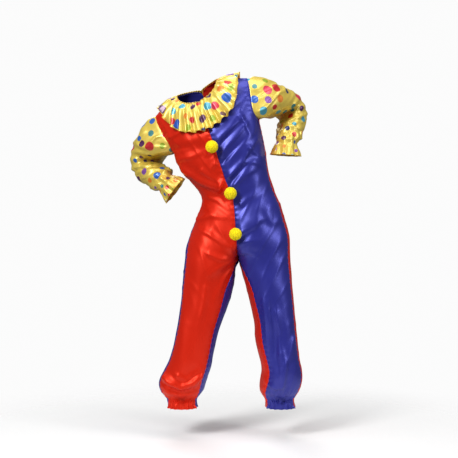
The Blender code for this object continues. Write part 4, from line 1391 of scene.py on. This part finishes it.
# %% Give the sheets their thickness
THICKNESS = 0.0010
FACE_OF = {
    "front_right": red_satin,
    "front_left": blue_satin,
    "back_right": blue_satin,
    "back_left": red_satin,
    "sleeve_right": dotted_satin,
    "sleeve_left": dotted_satin,
    "collar": dotted_satin,
}


def solidify(thing, face, back):
    """Gives a sheet its wall, with one material outside and another inside."""
    thing.data.materials.append(face)
    thing.data.materials.append(back)
    only(thing)
    wall = thing.modifiers.new("thickness", "SOLIDIFY")
    wall.thickness, wall.offset, wall.material_offset = THICKNESS, -1.0, 1
    bpy.ops.object.modifier_apply(modifier=wall.name)


for name, thing in cloth.items():
    solidify(thing, FACE_OF[name], backs[FACE_OF[name]])
    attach(thing, "root")
    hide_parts(name)

for name, roll in rolls.items():
    finish = plain_yellow if name in ("collar_hem", "neck_binding", *SLEEVES) else FACE_OF[name]
    roll.data.materials.clear()
    roll.data.materials.append(finish)
    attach(roll, "root")

# %% [markdown]
# ## Each sheet's flat size
# The flat size of a sheet is read off its cut. The collar is one long strip before its
# thread is drawn, and is taken as that.

# %% Each sheet's flat size
COLLAR_STRIP = (1.10, 0.125)

for name, thing in cloth.items():
    wide, long = (float(size) for size in uv_of(thing).max(axis=0))
    if name == "collar":
        wide, long = COLLAR_STRIP

# %% [markdown]
# ## Pompoms, placket and stitches
# These aren't sheets that hang: the yarn is bushy all round, and the placket is sewn down
# flat. So they only take the place of their solids, and the stitches ride with them.

# %% Pompoms, placket and stitches
for name, ball in yarn.items():
    ball.data.materials.clear()
    ball.data.materials.append(yellow_yarn)
    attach(ball, "root")
    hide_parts(name)

solidify(placket, red_satin, backs[red_satin])
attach(placket, "root")
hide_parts("back_placket")
for line in placket_stitches:
    line.data.materials.append(thread)
    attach(line, "root")
print("also on the suit:", [ball.name for ball in yarn.values()], placket.name)

# %% [markdown]
# ## Check the size and count the triangles
# How far the dressed suit reaches beyond its solids, and how many triangles it has. The
# dressed suit may be only a little larger than its solids.

# %% Check the size and count the triangles
new_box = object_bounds()
for side, old, new in zip(("low", "high"), cad_box, new_box):
    print(side, "corner moved by (mm):", [round(1000 * (b - a), 1) for a, b in zip(old, new)])
counts = {}
for thing in bpy.context.scene.objects:
    if thing.type == "MESH" and not thing.hide_render:
        thing.data.calc_loop_triangles()
        counts[thing.name] = len(thing.data.loop_triangles)
print("triangles in all:", sum(counts.values()), "most:", max(counts.items(), key=lambda c: c[1]))
